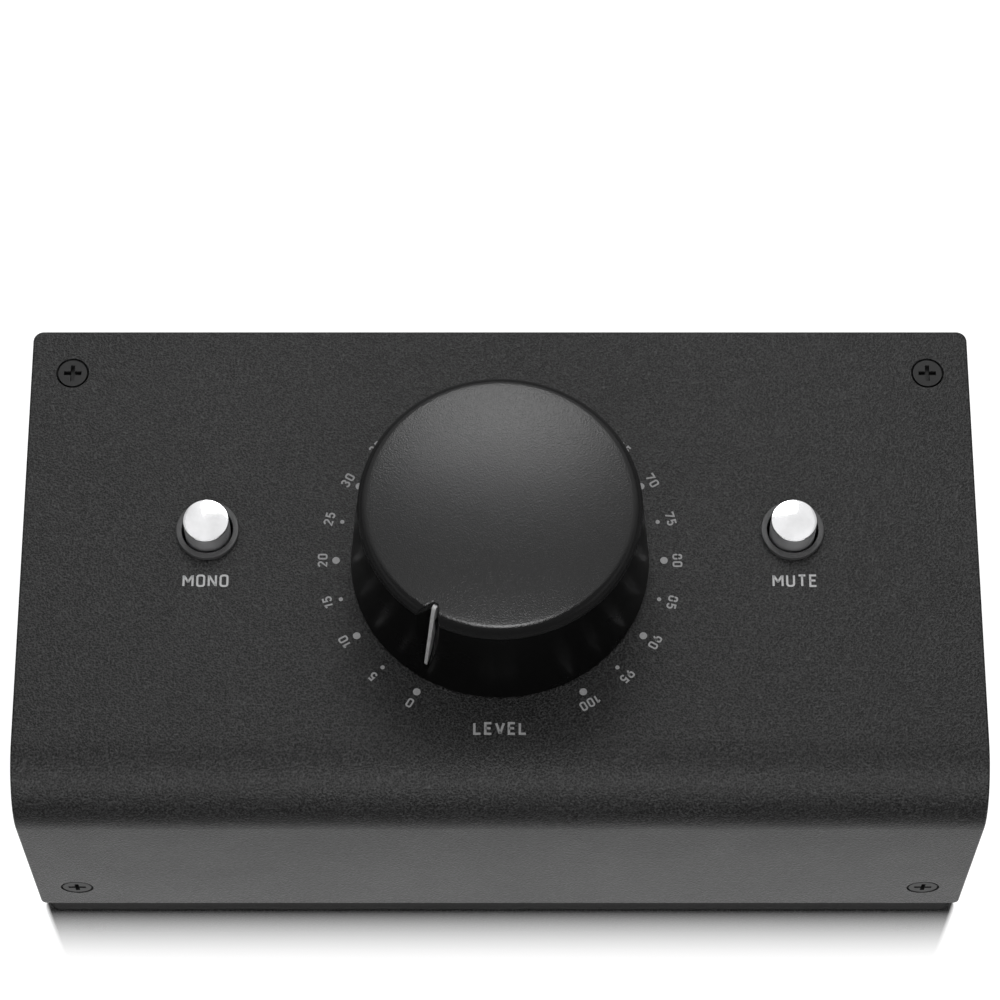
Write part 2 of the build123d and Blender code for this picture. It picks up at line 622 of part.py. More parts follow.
def make_pot_terminals():
    """Six flat terminals that lead from the wafers down through the control board."""
    terminals = []
    for level, reach in zip(WAFER_LEVELS, TERMINAL_REACH):
        top = level + WAFER_THICKNESS
        z = (top, top + TERMINAL_THICKNESS)
        leg_y = (KNOB_Y - reach - TERMINAL_THICKNESS / 2, KNOB_Y - reach + TERMINAL_THICKNESS / 2)
        for step in (-1, 0, 1):
            middle = step * TERMINAL_PITCH
            x = (middle - TERMINAL_WIDTH / 2, middle + TERMINAL_WIDTH / 2)
            strip = block(x, (leg_y[0], KNOB_Y - WAFER_RADIUS + JOIN), z)
            terminals.append(strip + block(x, leg_y, (PIN_BOTTOM, z[1])))
    return group(terminals)


# ---- push buttons ----

def column(x, size, z):
    """Upright square bar on a button's axis."""
    half = size / 2
    return block((x - half, x + half), (BUTTON_Y - half, BUTTON_Y + half), z)


def switch_pin_places(x):
    """Centres of the six solder pins under a switch."""
    return [(x + side * SWITCH_PIN_X, BUTTON_Y + row) for side in (-1, 1) for row in SWITCH_PIN_ROWS]


def make_button_cap(x):
    """Polished metal cap with a square socket for the plunger."""
    cap = post(CAP_RADIUS, x, BUTTON_Y, (CAP_BOTTOM, CAP_TOP))
    cap = fillet(cap.edges().filter_by(GeomType.CIRCLE).group_by(Axis.Z)[-1], CAP_EDGE)
    return cap - column(x, STEM_SIZE + 2 * SHAFT_CLEARANCE, (CAP_BOTTOM - CUT, CAP_SOCKET_TOP))


def make_bezel(x):
    """Ring that snaps into the plate, with a barb below it."""
    barb_top = PLATE_UNDER - BEZEL_BARB_GAP
    outline = [
        (BEZEL_BORE, BEZEL_BOTTOM),
        (BEZEL_NECK, BEZEL_BOTTOM),
        (BEZEL_BARB, barb_top),
        (BEZEL_NECK, barb_top),
        (BEZEL_NECK, PLATE_TOP),
        (BEZEL_RADIUS, PLATE_TOP),
        (BEZEL_RADIUS, PLATE_TOP + BEZEL_HEIGHT - BEZEL_EDGE),
        (BEZEL_RADIUS - BEZEL_EDGE, PLATE_TOP + BEZEL_HEIGHT),
        (BEZEL_BORE, PLATE_TOP + BEZEL_HEIGHT),
    ]
    return turned(outline, x=x, y=BUTTON_Y)


def make_plunger(x):
    """Square stem under the cap, with the slider that carries the contact."""
    return column(x, STEM_SIZE, (SLIDER_HEIGHTS[1], STEM_TOP)) + column(x, SLIDER_SIZE, SLIDER_HEIGHTS)


def make_switch_terminals(x):
    """Six solder pins from the switch's floor through the control board."""
    z = (PIN_BOTTOM, CONTROL_BOARD[1] + SWITCH_WALL)
    return group(post(SWITCH_PIN_RADIUS, pin_x, pin_y, z) for pin_x, pin_y in switch_pin_places(x))


def make_switch_body(x):
    """Square switch case on the control board, open at the top for the stem."""
    floor = CONTROL_BOARD[1] + SWITCH_WALL
    roof = SWITCH_TOP - SWITCH_WALL
    body = column(x, SWITCH_SIZE, (CONTROL_BOARD[1], SWITCH_TOP))
    body -= column(x, SWITCH_SIZE - 2 * SWITCH_WALL, (floor, roof))
    body -= column(x, STEM_SIZE + 2 * STEM_CLEARANCE, (roof, SWITCH_TOP + CUT))
    for pin_x, pin_y in switch_pin_places(x):
        body -= post(SWITCH_PIN_RADIUS, pin_x, pin_y, (CONTROL_BOARD[0], floor))
    return body


def make_spring(x):
    """Return spring between the switch's floor and the slider."""
    bottom = CONTROL_BOARD[1] + SWITCH_WALL + SPRING_WIRE
    height = SLIDER_HEIGHTS[0] - SPRING_WIRE - bottom
    path = Helix(pitch=height / SPRING_TURNS, height=height, radius=SPRING_RADIUS)
    section = Plane(origin=path @ 0, z_dir=path % 0) * Circle(SPRING_WIRE)
    return Pos(x, BUTTON_Y, bottom) * sweep(section, path=path)


def make_contact_slider(x):
    """Two thin contact plates on the sides of the slider."""
    near = SLIDER_SIZE / 2
    far = near + CONTACT_THICKNESS
    y = (BUTTON_Y - CONTACT_LENGTH / 2, BUTTON_Y + CONTACT_LENGTH / 2)
    return group(block(sorted((x + side * near, x + side * far)), y, CONTACT_HEIGHTS) for side in (-1, 1))


# ---- connectors ----

def connector_shell(x, body_front):
    """Flange behind the rear wall, boss through it and box body in front of it."""
    shell = barrel(BOSS_RADIUS, x, (WALL_INNER, REAR), CONNECTOR_Z)
    shell += block((x - FLANGE_HALF_WIDTH, x + FLANGE_HALF_WIDTH), (FLANGE_FRONT, WALL_INNER),
                   (CONNECTOR_Z - FLANGE_HALF_HEIGHT, CONNECTOR_Z + FLANGE_HALF_HEIGHT))
    shell += block((x - BODY_HALF_WIDTH, x + BODY_HALF_WIDTH), (body_front, FLANGE_FRONT),
                   (CONNECTOR_Z - BODY_HALF_HEIGHT, CONNECTOR_Z + BODY_HALF_HEIGHT))
    for dx, dz in WALL_SCREW_OFFSETS:
        shell -= barrel(WALL_SCREW_BORE, x + dx, (WALL_SCREW_END - CUT, REAR), CONNECTOR_Z + dz)
    return shell


def input_pin_places(x):
    """Centres of the eight solder pins under an input connector."""
    return [(x + dx, y) for dx in INPUT_PIN_XS for y in INPUT_PIN_YS]


def make_input_housing(x):
    """Housing that takes either a 6.35 mm plug or a three-pin round plug."""
    housing = connector_shell(x, INPUT_BODY_FRONT)
    housing += block((x - JACK_HALF, x + JACK_HALF), (JACK_FRONT, INPUT_BODY_FRONT),
                     (CONNECTOR_Z - JACK_HALF, CONNECTOR_Z + JACK_HALF))
    groove_y = (REAR - GROOVE_DEPTH, REAR + CUT)
    core, groove = (barrel(radius, x, groove_y, CONNECTOR_Z) for radius in GROOVE_RADII)
    housing -= groove - core
    housing -= barrel(JACK_RADIUS, x, (REAR - JACK_DEPTH, REAR + CUT), CONNECTOR_Z)
    for hole_x, hole_z in socket_places(x):
        housing -= barrel(SOCKET_RADIUS, hole_x, (REAR - SOCKET_DEPTH, REAR + CUT), hole_z)
    slot_z = (CONNECTOR_Z, CONNECTOR_Z + LEAF_SLOT_TOP)
    for y in LEAF_SPANS:
        slot_y = (y[0] - LEAF_SLOT_GAP, y[1] + LEAF_SLOT_GAP)
        housing -= block((x - LEAF_SLOT_HALF, x + LEAF_SLOT_HALF), slot_y, slot_z)
    for pin_x, pin_y in input_pin_places(x):
        housing -= post(INPUT_PIN_RADIUS, pin_x, pin_y, (MAIN_BOARD[0], INPUT_PIN_TOP))
    return housing


def make_input_contacts(x):
    """Socket tubes, jack springs and solder pins of one input connector."""
    contacts = []
    tube_y = (REAR - SOCKET_DEPTH, REAR - SOCKET_SETBACK)
    for hole_x, hole_z in socket_places(x):
        tube = barrel(SOCKET_RADIUS, hole_x, tube_y, hole_z)
        contacts.append(tube - barrel(SOCKET_BORE, hole_x, tube_y, hole_z))
    leaf_z = (CONNECTOR_Z + LEAF_HEIGHTS[0], CONNECTOR_Z + LEAF_HEIGHTS[1])
    for y in LEAF_SPANS:
        contacts.append(block((x - LEAF_HALF_WIDTH, x + LEAF_HALF_WIDTH), y, leaf_z))
    for pin_x, pin_y in input_pin_places(x):
        contacts.append(post(INPUT_PIN_RADIUS, pin_x, pin_y, (SOLDER_BOTTOM, INPUT_PIN_TOP)))
    return group(contacts)


def make_output_shell(x):
    """Shell round the three pins of an output connector."""
    shell = connector_shell(x, OUTPUT_BODY_FRONT)
    return shell - barrel(CAVITY_RADIUS, x, (OUTPUT_BODY_FRONT - CUT, REAR + CUT), CONNECTOR_Z)


def make_output_insert(x):
    """Insulating disc that holds the three pins."""
    disc = barrel(INSERT_DISC_RADIUS, x, (OUTPUT_BODY_FRONT, CAVITY_FLOOR), CONNECTOR_Z)
    for pin_x, pin_z in socket_places(x):
        disc -= barrel(XLR_PIN_RADIUS, pin_x, (OUTPUT_BODY_FRONT - CUT, REAR), pin_z)
    return disc


def make_output_pins(x):
    """Three round pins, each with a flat tail down to the main board."""
    pins = []
    for pin_x, pin_z in socket_places(x):
        pin = barrel(XLR_PIN_RADIUS, pin_x, XLR_PIN_REACH, pin_z)
        pin = chamfer(pin.edges().filter_by(GeomType.CIRCLE).sort_by(Axis.Y)[-1], XLR_PIN_RADIUS / 3)
        tail_x = (pin_x - TAIL_WIDTH / 2, pin_x + TAIL_WIDTH / 2)
        tail_y = (XLR_PIN_REACH[0], XLR_PIN_REACH[0] + TAIL_THICKNESS)
        pins.append(pin + block(tail_x, tail_y, (SOLDER_BOTTOM, pin_z)))
    return group(pins)


def wall_screw(x, z):
    """Pan-head screw through the rear wall into a connector's flange."""
    screw = barrel(WALL_SCREW_RADIUS, x, (WALL_SCREW_END, TRAY_REAR), z)
    head_end = TRAY_REAR + WALL_SCREW_HEAD_HEIGHT
    head = barrel(WALL_SCREW_HEAD, x, (TRAY_REAR, head_end), z)
    head = fillet(head.edges().filter_by(GeomType.CIRCLE).sort_by(Axis.Y)[-1], WALL_SCREW_HEAD_HEIGHT / 2)
    half, slot = WALL_SCREW_CROSS / 2, WALL_SCREW_SLOT / 2
    recess_y = (head_end - CROSS_DEPTH, head_end + CUT)
    head -= block((x - half, x + half), recess_y, (z - slot, z + slot))
    head -= block((x - slot, x + slot), recess_y, (z - half, z + half))
    return screw + head


def make_connector_screws():
    """Two screws for each of the four connectors."""
    places = [*INPUT_X.values(), *OUTPUT_X.values()]
    return group(wall_screw(x + dx, CONNECTOR_Z + dz) for x in places for dx, dz in WALL_SCREW_OFFSETS)


# ---- boards ----

def control_post_places():
    """Centres of the control board's four screws."""
    return [(side * CONTROL_POST_X, y) for side in (-1, 1) for y in CONTROL_POST_YS]


def main_post_places():
    """Centres of the main board's four screws."""
    return [(side * MAIN_POST_X, y) for side in (-1, 1) for y in MAIN_POST_YS]


def make_control_board():
    """Board that carries the potentiometer and both switches."""
    board = block((-CONTROL_HALF, CONTROL_HALF), (CONTROL_FRONT, CONTROL_REAR), CONTROL_BOARD)
    through = (CONTROL_BOARD[0] - CUT, CONTROL_BOARD[1] + CUT)
    for x, y in control_post_places():
        board -= post(BOARD_HOLE, x, y, through)
    for reach in TERMINAL_REACH:
        for step in (-1, 0, 1):
            board -= post(SOLDER_HOLE, step * TERMINAL_PITCH, KNOB_Y - reach, through)
    for x in BUTTON_X.values():
        for pin_x, pin_y in switch_pin_places(x):
            board -= post(SOLDER_HOLE, pin_x, pin_y, through)
    return board


def make_main_board():
    """Board that carries the four connectors and the resistors."""
    board = block((-MAIN_HALF, MAIN_HALF), (MAIN_FRONT, MAIN_REAR), MAIN_BOARD)
    through = (MAIN_BOARD[0] - CUT, MAIN_BOARD[1] + CUT)
    for x, y in main_post_places():
        board -= post(BOARD_HOLE, x, y, through)
    for x in INPUT_X.values():
        for pin_x, pin_y in input_pin_places(x):
            board -= post(SOLDER_HOLE, pin_x, pin_y, through)
    tail_y = XLR_PIN_REACH[0] + TAIL_THICKNESS / 2
    for x in OUTPUT_X.values():
        for pin_x, _ in socket_places(x):
            board -= post(SOLDER_HOLE, pin_x, tail_y, through)
    for x in resistor_places():
        for side in (-1, 1):
            board -= post(SOLDER_HOLE, x, RESISTOR_Y + side * LEAD_PITCH / 2, through)
    return board


def make_control_board_standoffs():
    """Four posts pressed into the plate's underside, each with a blind screw hole."""
    return group(
        post(POST_RADIUS, x, y, (CONTROL_BOARD[1], PLATE_UNDER))
        - post(POST_BORE, x, y, (CONTROL_BOARD[1], CONTROL_BOARD[1] + POST_DEPTH))
        for x, y in control_post_places()
    )


def make_control_board_screws():
    """Four screws up through the control board."""
    low, high = CONTROL_BOARD
    return group(
        post(BOARD_SCREW_HEAD, x, y, (low - BOARD_SCREW_HEAD_HEIGHT, low))
        + post(BOARD_SCREW_RADIUS, x, y, (low, high + BOARD_SCREW_REACH))
        for x, y in control_post_places()
    )


def make_main_board_standoffs():
    """Four short posts on the tray's floor."""
    z = (TRAY_FLOOR, MAIN_BOARD[0])
    return group(post(POST_RADIUS, x, y, z) - post(POST_BORE, x, y, z) for x, y in main_post_places())


def make_main_board_screws():
    """Four screws down through the main board."""
    top = MAIN_BOARD[1]
    return group(
        post(BOARD_SCREW_HEAD, x, y, (top, top + BOARD_SCREW_HEAD_HEIGHT))
        + post(BOARD_SCREW_RADIUS, x, y, (TRAY_FLOOR + TRAY_GAP, top))
        for x, y in main_post_places()
    )


def make_header(y, z_low):
    """Ten-way header block of the ribbon cable."""
    return block((RIBBON_X - HEADER_SIZE[0] / 2, RIBBON_X + HEADER_SIZE[0] / 2),
                 (y - HEADER_SIZE[1] / 2, y + HEADER_SIZE[1] / 2), (z_low, z_low + HEADER_SIZE[2]))


def make_ribbon_cable():
    """Flat cable that drops from the control board's header to the main board's header."""
    top = CONTROL_BOARD[0] - HEADER_SIZE[2]
    bottom = MAIN_BOARD[1] + HEADER_SIZE[2]
    middle = (top + bottom) / 2
    start, end = CONTROL_HEADER_Y, MAIN_HEADER_Y
    route = [(start, top), (start, middle), (end, middle), (end, bottom)]
    path = FilletPolyline(*[(RIBBON_X, y, z) for y, z in route], radius=RIBBON_BEND)
    section = Pos(RIBBON_X, start, top) * Rectangle(RIBBON_WIDTH, RIBBON_THICKNESS)
    return sweep(section, path=path)


def resistor_places():
    """Centres of the resistors along X."""
    return [RESISTOR_FIRST_X + step * RESISTOR_PITCH for step in range(RESISTOR_COUNT)]


def resistor(x):
    """One resistor lying along Y, with its two leads bent down through the main board."""
    height = MAIN_BOARD[1] + RESISTOR_LIFT
    body_y = (RESISTOR_Y - RESISTOR_LENGTH / 2, RESISTOR_Y + RESISTOR_LENGTH / 2)
    lead_y = (RESISTOR_Y - LEAD_PITCH / 2, RESISTOR_Y + LEAD_PITCH / 2)
    part = barrel(RESISTOR_RADIUS, x, body_y, height) + barrel(LEAD_RADIUS, x, lead_y, height)
    for y in lead_y:
        part += post(LEAD_RADIUS, x, y, (SOLDER_BOTTOM, height))
        part += Pos(x, y, height) * Sphere(LEAD_RADIUS)
    return part


def make_mixing_resistors():
    """Row of resistors that sum the two channels for the mono switch."""
    return group(resistor(x) for x in resistor_places())


# ---- the whole part ----

def build_parts():
    """Every node by name."""
    parts = {
        "top_cover": make_top_cover(),
        "base_chassis": make_base_chassis(),
        "base_pad": make_base_pad(),
        "cover_screws_top": make_cover_screws_top(),
        "cover_screws_front": make_cover_screws_front(),
        "cover_clinch_nuts": make_cover_clinch_nuts(),
        "knob_body": make_knob_body(),
        "knob_cap": make_knob_cap(),
        "knob_pointer": make_knob_pointer(),
        "knob_insert": make_knob_insert(),
        "pot_shaft": make_pot_shaft(),
        "pot_bushing": make_pot_bushing(),
        "pot_washer": make_pot_washer(),
        "pot_nut": make_pot_nut(),
        "pot_housing": make_pot_housing(),
        "pot_rear_cover": make_pot_rear_cover(),
        "pot_track_wafers": make_pot_track_wafers(),
        "pot_rotor_lower": make_pot_rotor(0, with_stop=False),
        "pot_rotor_upper": make_pot_rotor(1, with_stop=True),
        "pot_wipers": make_pot_wipers(),
        "pot_terminals": make_pot_terminals(),
        "connector_screws": make_connector_screws(),
        "control_board": make_control_board(),
        "control_board_standoffs": make_control_board_standoffs(),
        "control_board_screws": make_control_board_screws(),
        "main_board": make_main_board(),
        "main_board_standoffs": make_main_board_standoffs(),
        "main_board_screws": make_main_board_screws(),
        "ribbon_header_control": make_header(CONTROL_HEADER_Y, CONTROL_BOARD[0] - HEADER_SIZE[2]),
        "ribbon_header_main": make_header(MAIN_HEADER_Y, MAIN_BOARD[1]),
        "ribbon_cable": make_ribbon_cable(),
        "mixing_resistors": make_mixing_resistors(),
    }
    for name, x in BUTTON_X.items():
        parts[f"{name}_button_cap"] = make_button_cap(x)
        parts[f"{name}_bezel"] = make_bezel(x)
        parts[f"{name}_plunger"] = make_plunger(x)
        parts[f"{name}_switch_body"] = make_switch_body(x)
        parts[f"{name}_return_spring"] = make_spring(x)
        parts[f"{name}_contact_slider"] = make_contact_slider(x)
        parts[f"{name}_terminals"] = make_switch_terminals(x)
    for side, x in INPUT_X.items():
        parts[f"input_{side}_housing"] = make_input_housing(x)
        parts[f"input_{side}_contacts"] = make_input_contacts(x)
    for side, x in OUTPUT_X.items():
        parts[f"output_{side}_shell"] = make_output_shell(x)
        parts[f"output_{side}_insert"] = make_output_insert(x)
        parts[f"output_{side}_pins"] = make_output_pins(x)
    return parts


os.makedirs("parts", exist_ok=True)
for node, shape in build_parts().items():
    export_step(shape, f"parts/{node}.step")
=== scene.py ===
import json
from math import asin, cos, pi, radians, sin

import bmesh
import bpy
import numpy as np
from bpy.props import FloatProperty, FloatVectorProperty, PointerProperty
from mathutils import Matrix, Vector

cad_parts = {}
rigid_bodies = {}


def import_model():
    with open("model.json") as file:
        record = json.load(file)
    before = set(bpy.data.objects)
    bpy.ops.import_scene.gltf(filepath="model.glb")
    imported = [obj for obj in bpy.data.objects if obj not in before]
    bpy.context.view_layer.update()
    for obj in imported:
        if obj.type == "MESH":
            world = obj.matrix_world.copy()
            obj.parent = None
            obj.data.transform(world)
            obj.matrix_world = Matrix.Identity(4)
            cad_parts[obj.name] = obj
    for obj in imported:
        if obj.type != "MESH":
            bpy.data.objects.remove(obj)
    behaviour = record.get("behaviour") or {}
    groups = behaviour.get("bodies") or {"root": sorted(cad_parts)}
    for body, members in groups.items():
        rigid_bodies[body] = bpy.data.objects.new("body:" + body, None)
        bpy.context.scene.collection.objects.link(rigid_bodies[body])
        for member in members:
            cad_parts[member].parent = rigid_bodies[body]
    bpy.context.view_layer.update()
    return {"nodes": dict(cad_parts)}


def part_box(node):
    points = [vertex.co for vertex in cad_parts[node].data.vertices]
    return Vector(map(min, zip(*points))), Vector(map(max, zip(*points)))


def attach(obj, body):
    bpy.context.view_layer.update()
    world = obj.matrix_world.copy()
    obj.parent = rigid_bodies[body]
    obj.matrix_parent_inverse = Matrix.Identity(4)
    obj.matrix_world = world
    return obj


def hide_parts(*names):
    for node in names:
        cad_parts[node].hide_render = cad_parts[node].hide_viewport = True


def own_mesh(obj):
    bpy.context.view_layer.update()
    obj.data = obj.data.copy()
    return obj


bl_info = {
    "name": "Level Controller Builder",
    "version": (1, 0, 0),
    "blender": (4, 5, 0),
    "location": "3D View > Sidebar > Controller",
    "description": "Builds the knob, buttons, printing and finishes of a desktop level controller",
    "category": "Add Mesh",
}

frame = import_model()

PLATE_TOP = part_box("top_cover")[1].z
BUTTONS = ("mono", "mute")
ROUND_STEPS = 96

# knob, below what its settings hold: spigot of the cap, walls, hub and bore of the skirt
SPIGOT_RADIUS, SPIGOT_DEPTH = 0.016, 0.0008
KNOB_WALL = 0.002
HUB_RADIUS, HUB_FOOT = 0.0070, 0.0060
BORE_RADIUS, BORE_TOP = 0.0045, 0.0145
BACKING_RADIUS = 0.0156

# printing: width of a stroke as a share of the sign's height, and dots of tens and of fives
DIAL_STROKE, WORD_STROKE = 0.18, 0.155
LARGE_DOT, SMALL_DOT = 0.00053, 0.0003
LEVEL_Y, BUTTON_WORD_Y = -0.02508, -0.00291

# finishes: colour, width and rise of the grain, lowest and highest roughness
PAINTS = {
    "tray_coat": ((0.010, 0.010, 0.0105), 0.0004, 0.00002, 0.45, 0.55),
    "screw_black": ((0.008, 0.008, 0.0082), 0.00025, 0.00001, 0.48, 0.56),
}
# the same without the grain, which all metals and all plastics share
BARE_METALS = {
    "plated_steel": ((0.62, 0.62, 0.60), 0.22, 0.34),
    "brass_sleeve": ((0.72, 0.53, 0.24), 0.24, 0.36),
    "cast_zinc": ((0.50, 0.50, 0.50), 0.38, 0.55),
    "contact_metal": ((0.80, 0.74, 0.55), 0.16, 0.28),
    "spring_steel": ((0.56, 0.56, 0.57), 0.2, 0.3),
}
MOULDED_PLASTICS = {
    "wafer_brown": ((0.16, 0.075, 0.03), 0.45, 0.6),
    "nylon_white": ((0.72, 0.71, 0.67), 0.4, 0.55),
    "switch_black": ((0.018, 0.018, 0.019), 0.4, 0.55),
    "connector_black": ((0.016, 0.016, 0.017), 0.34, 0.5),
    "board_green": ((0.012, 0.10, 0.035), 0.28, 0.4),
    "ribbon_grey": ((0.38, 0.38, 0.39), 0.45, 0.6),
    "resistor_blue": ((0.10, 0.22, 0.42), 0.3, 0.45),
}
WHITE = (1.0, 1.0, 1.0, 1.0)
# lowest share of a colour that the slow drift and the painted shade of the grain may leave
DARKEST_TINT_SHARE = 0.05

# floor: half sizes of the pad, and where and how the mirror image of the case fades
PAD_HALF = (0.0666, 0.0359)
MIRROR_START, MIRROR_FALL, MIRROR_SLANT, MIRROR_BLUR = 0.0009, 1.8, 0.39, 0.0004

# tent: half width, half depth, corner and height of each ring; glow between two heights
STAGE_TENT = (
    (0.100, 0.056, 0.016, 0.0),
    (0.100, 0.056, 0.016, 0.050),
    (1.2, 1.2, 0.6, 0.10),
    (1.2, 1.2, 0.6, 0.66),
    (0.002, 0.002, 0.001, 0.66),
)
TENT_GLOW = (0.10, 0.14, 0.12, 0.05)

# lamps: tilt and heading in degrees, distance, width, height, power
SOFTBOXES = {
    "ceiling": (34, 90, 0.55, 1.00, 0.80, 1.55),
    "middle": (24, 90, 0.54, 0.32, 0.80, 0.22),
    "far": (35, 90, 0.50, 0.17, 0.105, 0.38),
    "near": (6, 270, 0.50, 0.15, 0.18, 1.00),
    "front": (55, 270, 0.50, 0.84, 0.36, 2.10),
    "left": (58, 180, 0.50, 0.70, 0.14, 0.10),
    "right": (58, 0, 0.50, 0.70, 0.14, 0.10),
}


# ---- sizes and colours ----

def metres(name, description, default, **limits):
    """Setting that holds a length."""
    return FloatProperty(name=name, description=description, default=default, unit="LENGTH", **limits)


def turn_of(name, description, degrees):
    """Setting that holds an angle."""
    return FloatProperty(
        name=name, description=description, default=radians(degrees), subtype="ANGLE", unit="ROTATION"
    )


def tint(name, description, default):
    """Setting that holds a base colour."""
    return FloatVectorProperty(
        name=name, description=description, default=default, min=0.0, max=1.0, subtype="COLOR"
    )


class CoatSettings(bpy.types.PropertyGroup):
    cover_colour: tint(
        "Cover Colour", "Base colour of the powder coat on the bent cover", (0.0165, 0.0165, 0.0167)
    )
    grain_size: metres("Grain Size", "Width of one grain of the powder coat", 0.00028, min=0.00005)
    grain_height: metres(
        "Grain Height", "How far the grains of the powder coat stand out", 0.00007, min=0.0
    )
    pad_colour: tint(
        "Pad Colour", "Base colour of the rubber pad under the case", (0.040, 0.040, 0.040)
    )


class KnobSettings(bpy.types.PropertyGroup):
    axis_y: metres("Axis Y", "Place of the knob's axis along the depth of the case", 0.0002)
    base_radius: metres("Base Radius", "Radius of the skirt at its lower edge", 0.0208)
    rim_radius: metres("Rim Radius", "Radius where the skirt meets the cap", 0.0194)
    gap: metres("Gap", "Space between the plate and the skirt", 0.0003)
    seam: metres("Seam Height", "Height of the seam between skirt and cap above the plate", 0.0172)
    height: metres("Height", "Height of the cap above the plate where its rounded rim begins", 0.0189)
    crown: metres("Crown", "How much higher the cap is in its middle than where its rim begins", 0.0008)
    rim_round: metres("Rim Rounding", "Radius of the cap's rounded rim", 0.0016)
    wheel_radius: metres(
        "Notch Wheel", "Radius of the wheel that the pointer notch is cut with", 0.0358
    )
    notch_floor: metres(
        "Notch Floor", "Distance from the knob's axis to the floor of the notch at the top", 0.0172
    )
    notch_width: metres("Notch Width", "Width of the flat floor of the notch", 0.00074)
    notch_spread: FloatProperty(
        name="Notch Spread",
        description="How far each flank leans outward for its depth",
        default=0.6737,
    )
    edge_round: metres("Edge Rounding", "Rounding of the edges of the notch", 0.00022)
    pointer_angle: turn_of("Pointer Angle", "Direction of the pointer in the plane of the plate", 240.0)
    pointer_width: metres("Pointer Width", "Thickness of the pointer's blade", 0.0006)
    body_colour: tint("Skirt Colour", "Base colour of the glossy skirt", (0.0010, 0.0010, 0.0011))
    cap_colour: tint("Cap Colour", "Base colour of the matt cap", (0.012, 0.012, 0.0122))
    pointer_colour: tint("Pointer Colour", "Base colour of the pointer's blade", (0.60, 0.60, 0.60))


class ButtonSettings(bpy.types.PropertyGroup):
    spacing: metres("Spacing", "Distance of each button from the middle of the case", 0.0410)
    axis_y: metres("Axis Y", "Place of the buttons along the depth of the case", 0.00465)
    cap_radius: metres("Cap Radius", "Radius of a button's cap", 0.0032)
    cap_edge: metres("Cap Edge", "Rounding of a button's upper edge", 0.00012)
    crown: metres("Crown", "How much higher a button's cap is in its middle than at its edge", 0.000125)
    socket: metres("Socket", "Width of the square socket under a button's cap", 0.00304)
    bezel_radius: metres("Bezel Radius", "Outer radius of the ring round a button", 0.0044)
    bezel_bore: metres("Bezel Bore", "Inner radius of the ring round a button", 0.0036)
    bezel_height: metres("Bezel Height", "Height of the ring above the plate", 0.00075)


class PrintSettings(bpy.types.PropertyGroup):
    colour: tint("Ink Colour", "Base colour of the words by the buttons", (0.45, 0.45, 0.455))
    # painted shade: the dial's ink is darker than that of the words by the buttons, standing in for the
    # knob's shade on the plate round it
    dial_colour: tint(
        "Dial Colour",
        "Base colour of the dots, the numbers and the word by the knob",
        (0.29, 0.29, 0.293),
    )
    thickness: metres("Ink Thickness", "Height of the ink above the plate", 0.000015)
    dot_circle: metres("Dot Circle", "Radius of the circle of dots round the knob", 0.02292)
    number_circle: metres(
        "Number Circle", "Radius of the circle through the middles of the numbers", 0.0248
    )
    number_height: metres("Number Height", "Height of a digit of the dial", 0.00138)
    word_height: metres("Word Height", "Height of a capital letter of the words", 0.00190)


class StageSettings(bpy.types.PropertyGroup):
    floor_size: metres("Floor Size", "Width of the square floor", 6.0)
    mirror_reach: metres(
        "Mirror Reach", "Distance from the case at which the floor stops mirroring it", 0.0105
    )
    camera_place: FloatVectorProperty(
        name="Camera Place",
        description="Place of the camera",
        default=(0.0, -0.20746, 0.50115),
        subtype="TRANSLATION",
        unit="LENGTH",
    )
    camera_tilt: turn_of("Camera Tilt", "Turn of the camera from straight down", 22.931)
    camera_lens: FloatProperty(
        name="Camera Lens",
        description="Focal length on a sensor 36 mm wide",
        default=129.50,
        unit="CAMERA",
    )
    camera_rise: FloatProperty(
        name="Camera Rise",
        description="Vertical shift of the lens as a share of the sensor",
        default=0.1516,
    )


# ---- surfaces ----

def blend(start, end, count):
    """Straight row of values from start to end."""
    return np.linspace(start, end, count)


def quads(rows, columns, closed):
    """Faces of a grid, each joining four neighbours; closed, its last column meets the first."""
    row = np.arange(rows - 1)[:, None]
    column = np.arange(columns if closed else columns - 1)[None, :]
    after = (column + 1) % columns
    here, above = row * columns, (row + 1) * columns
    corners = (here + column, here + after, above + after, above + column)
    return np.stack([np.broadcast_to(c, (rows - 1, column.size)) for c in corners], -1).reshape(-1, 4)


def put(name, data):
    """New object of the scene that holds the data."""
    holder = bpy.data.objects.new(name, data)
    bpy.context.scene.collection.objects.link(holder)
    return holder


def build_piece(name, grids, closed=True, sharp=40.0):
    """Mesh object from grids of points; poles and seams are merged and faces turned outward."""
    points, faces, first = [], [], 0
    for grid in grids:
        rows, columns = grid.shape[:2]
        points.append(grid.reshape(-1, 3))
        faces.append(quads(rows, columns, closed) + first)
        first += rows * columns
    mesh = bpy.data.meshes.new(name)
    mesh.from_pydata(np.concatenate(points).tolist(), [], np.concatenate(faces).tolist())
    shell = bmesh.new()
    shell.from_mesh(mesh)
    bmesh.ops.remove_doubles(shell, verts=shell.verts, dist=2e-7)
    bmesh.ops.dissolve_degenerate(shell, edges=shell.edges, dist=1e-7)
    bmesh.ops.recalc_face_normals(shell, faces=shell.faces)
    shell.to_mesh(mesh)
    shell.free()
    mesh.shade_smooth()
    mesh.set_sharp_from_angle(angle=radians(sharp))
    return put(name, mesh)


def place_piece(piece, body, material, nodes=()):
    """Gives a piece its finish, its body and the nodes that it stands for."""
    piece.data.materials.append(material)
    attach(piece, body)
    if nodes:
        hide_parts(*nodes)


def bend(start, corner, end, t):
    """Parabola from start to end that leaves and arrives in the direction of the corner."""
    return (1 - t) ** 2 * start + 2 * (1 - t) * t * corner + t**2 * end


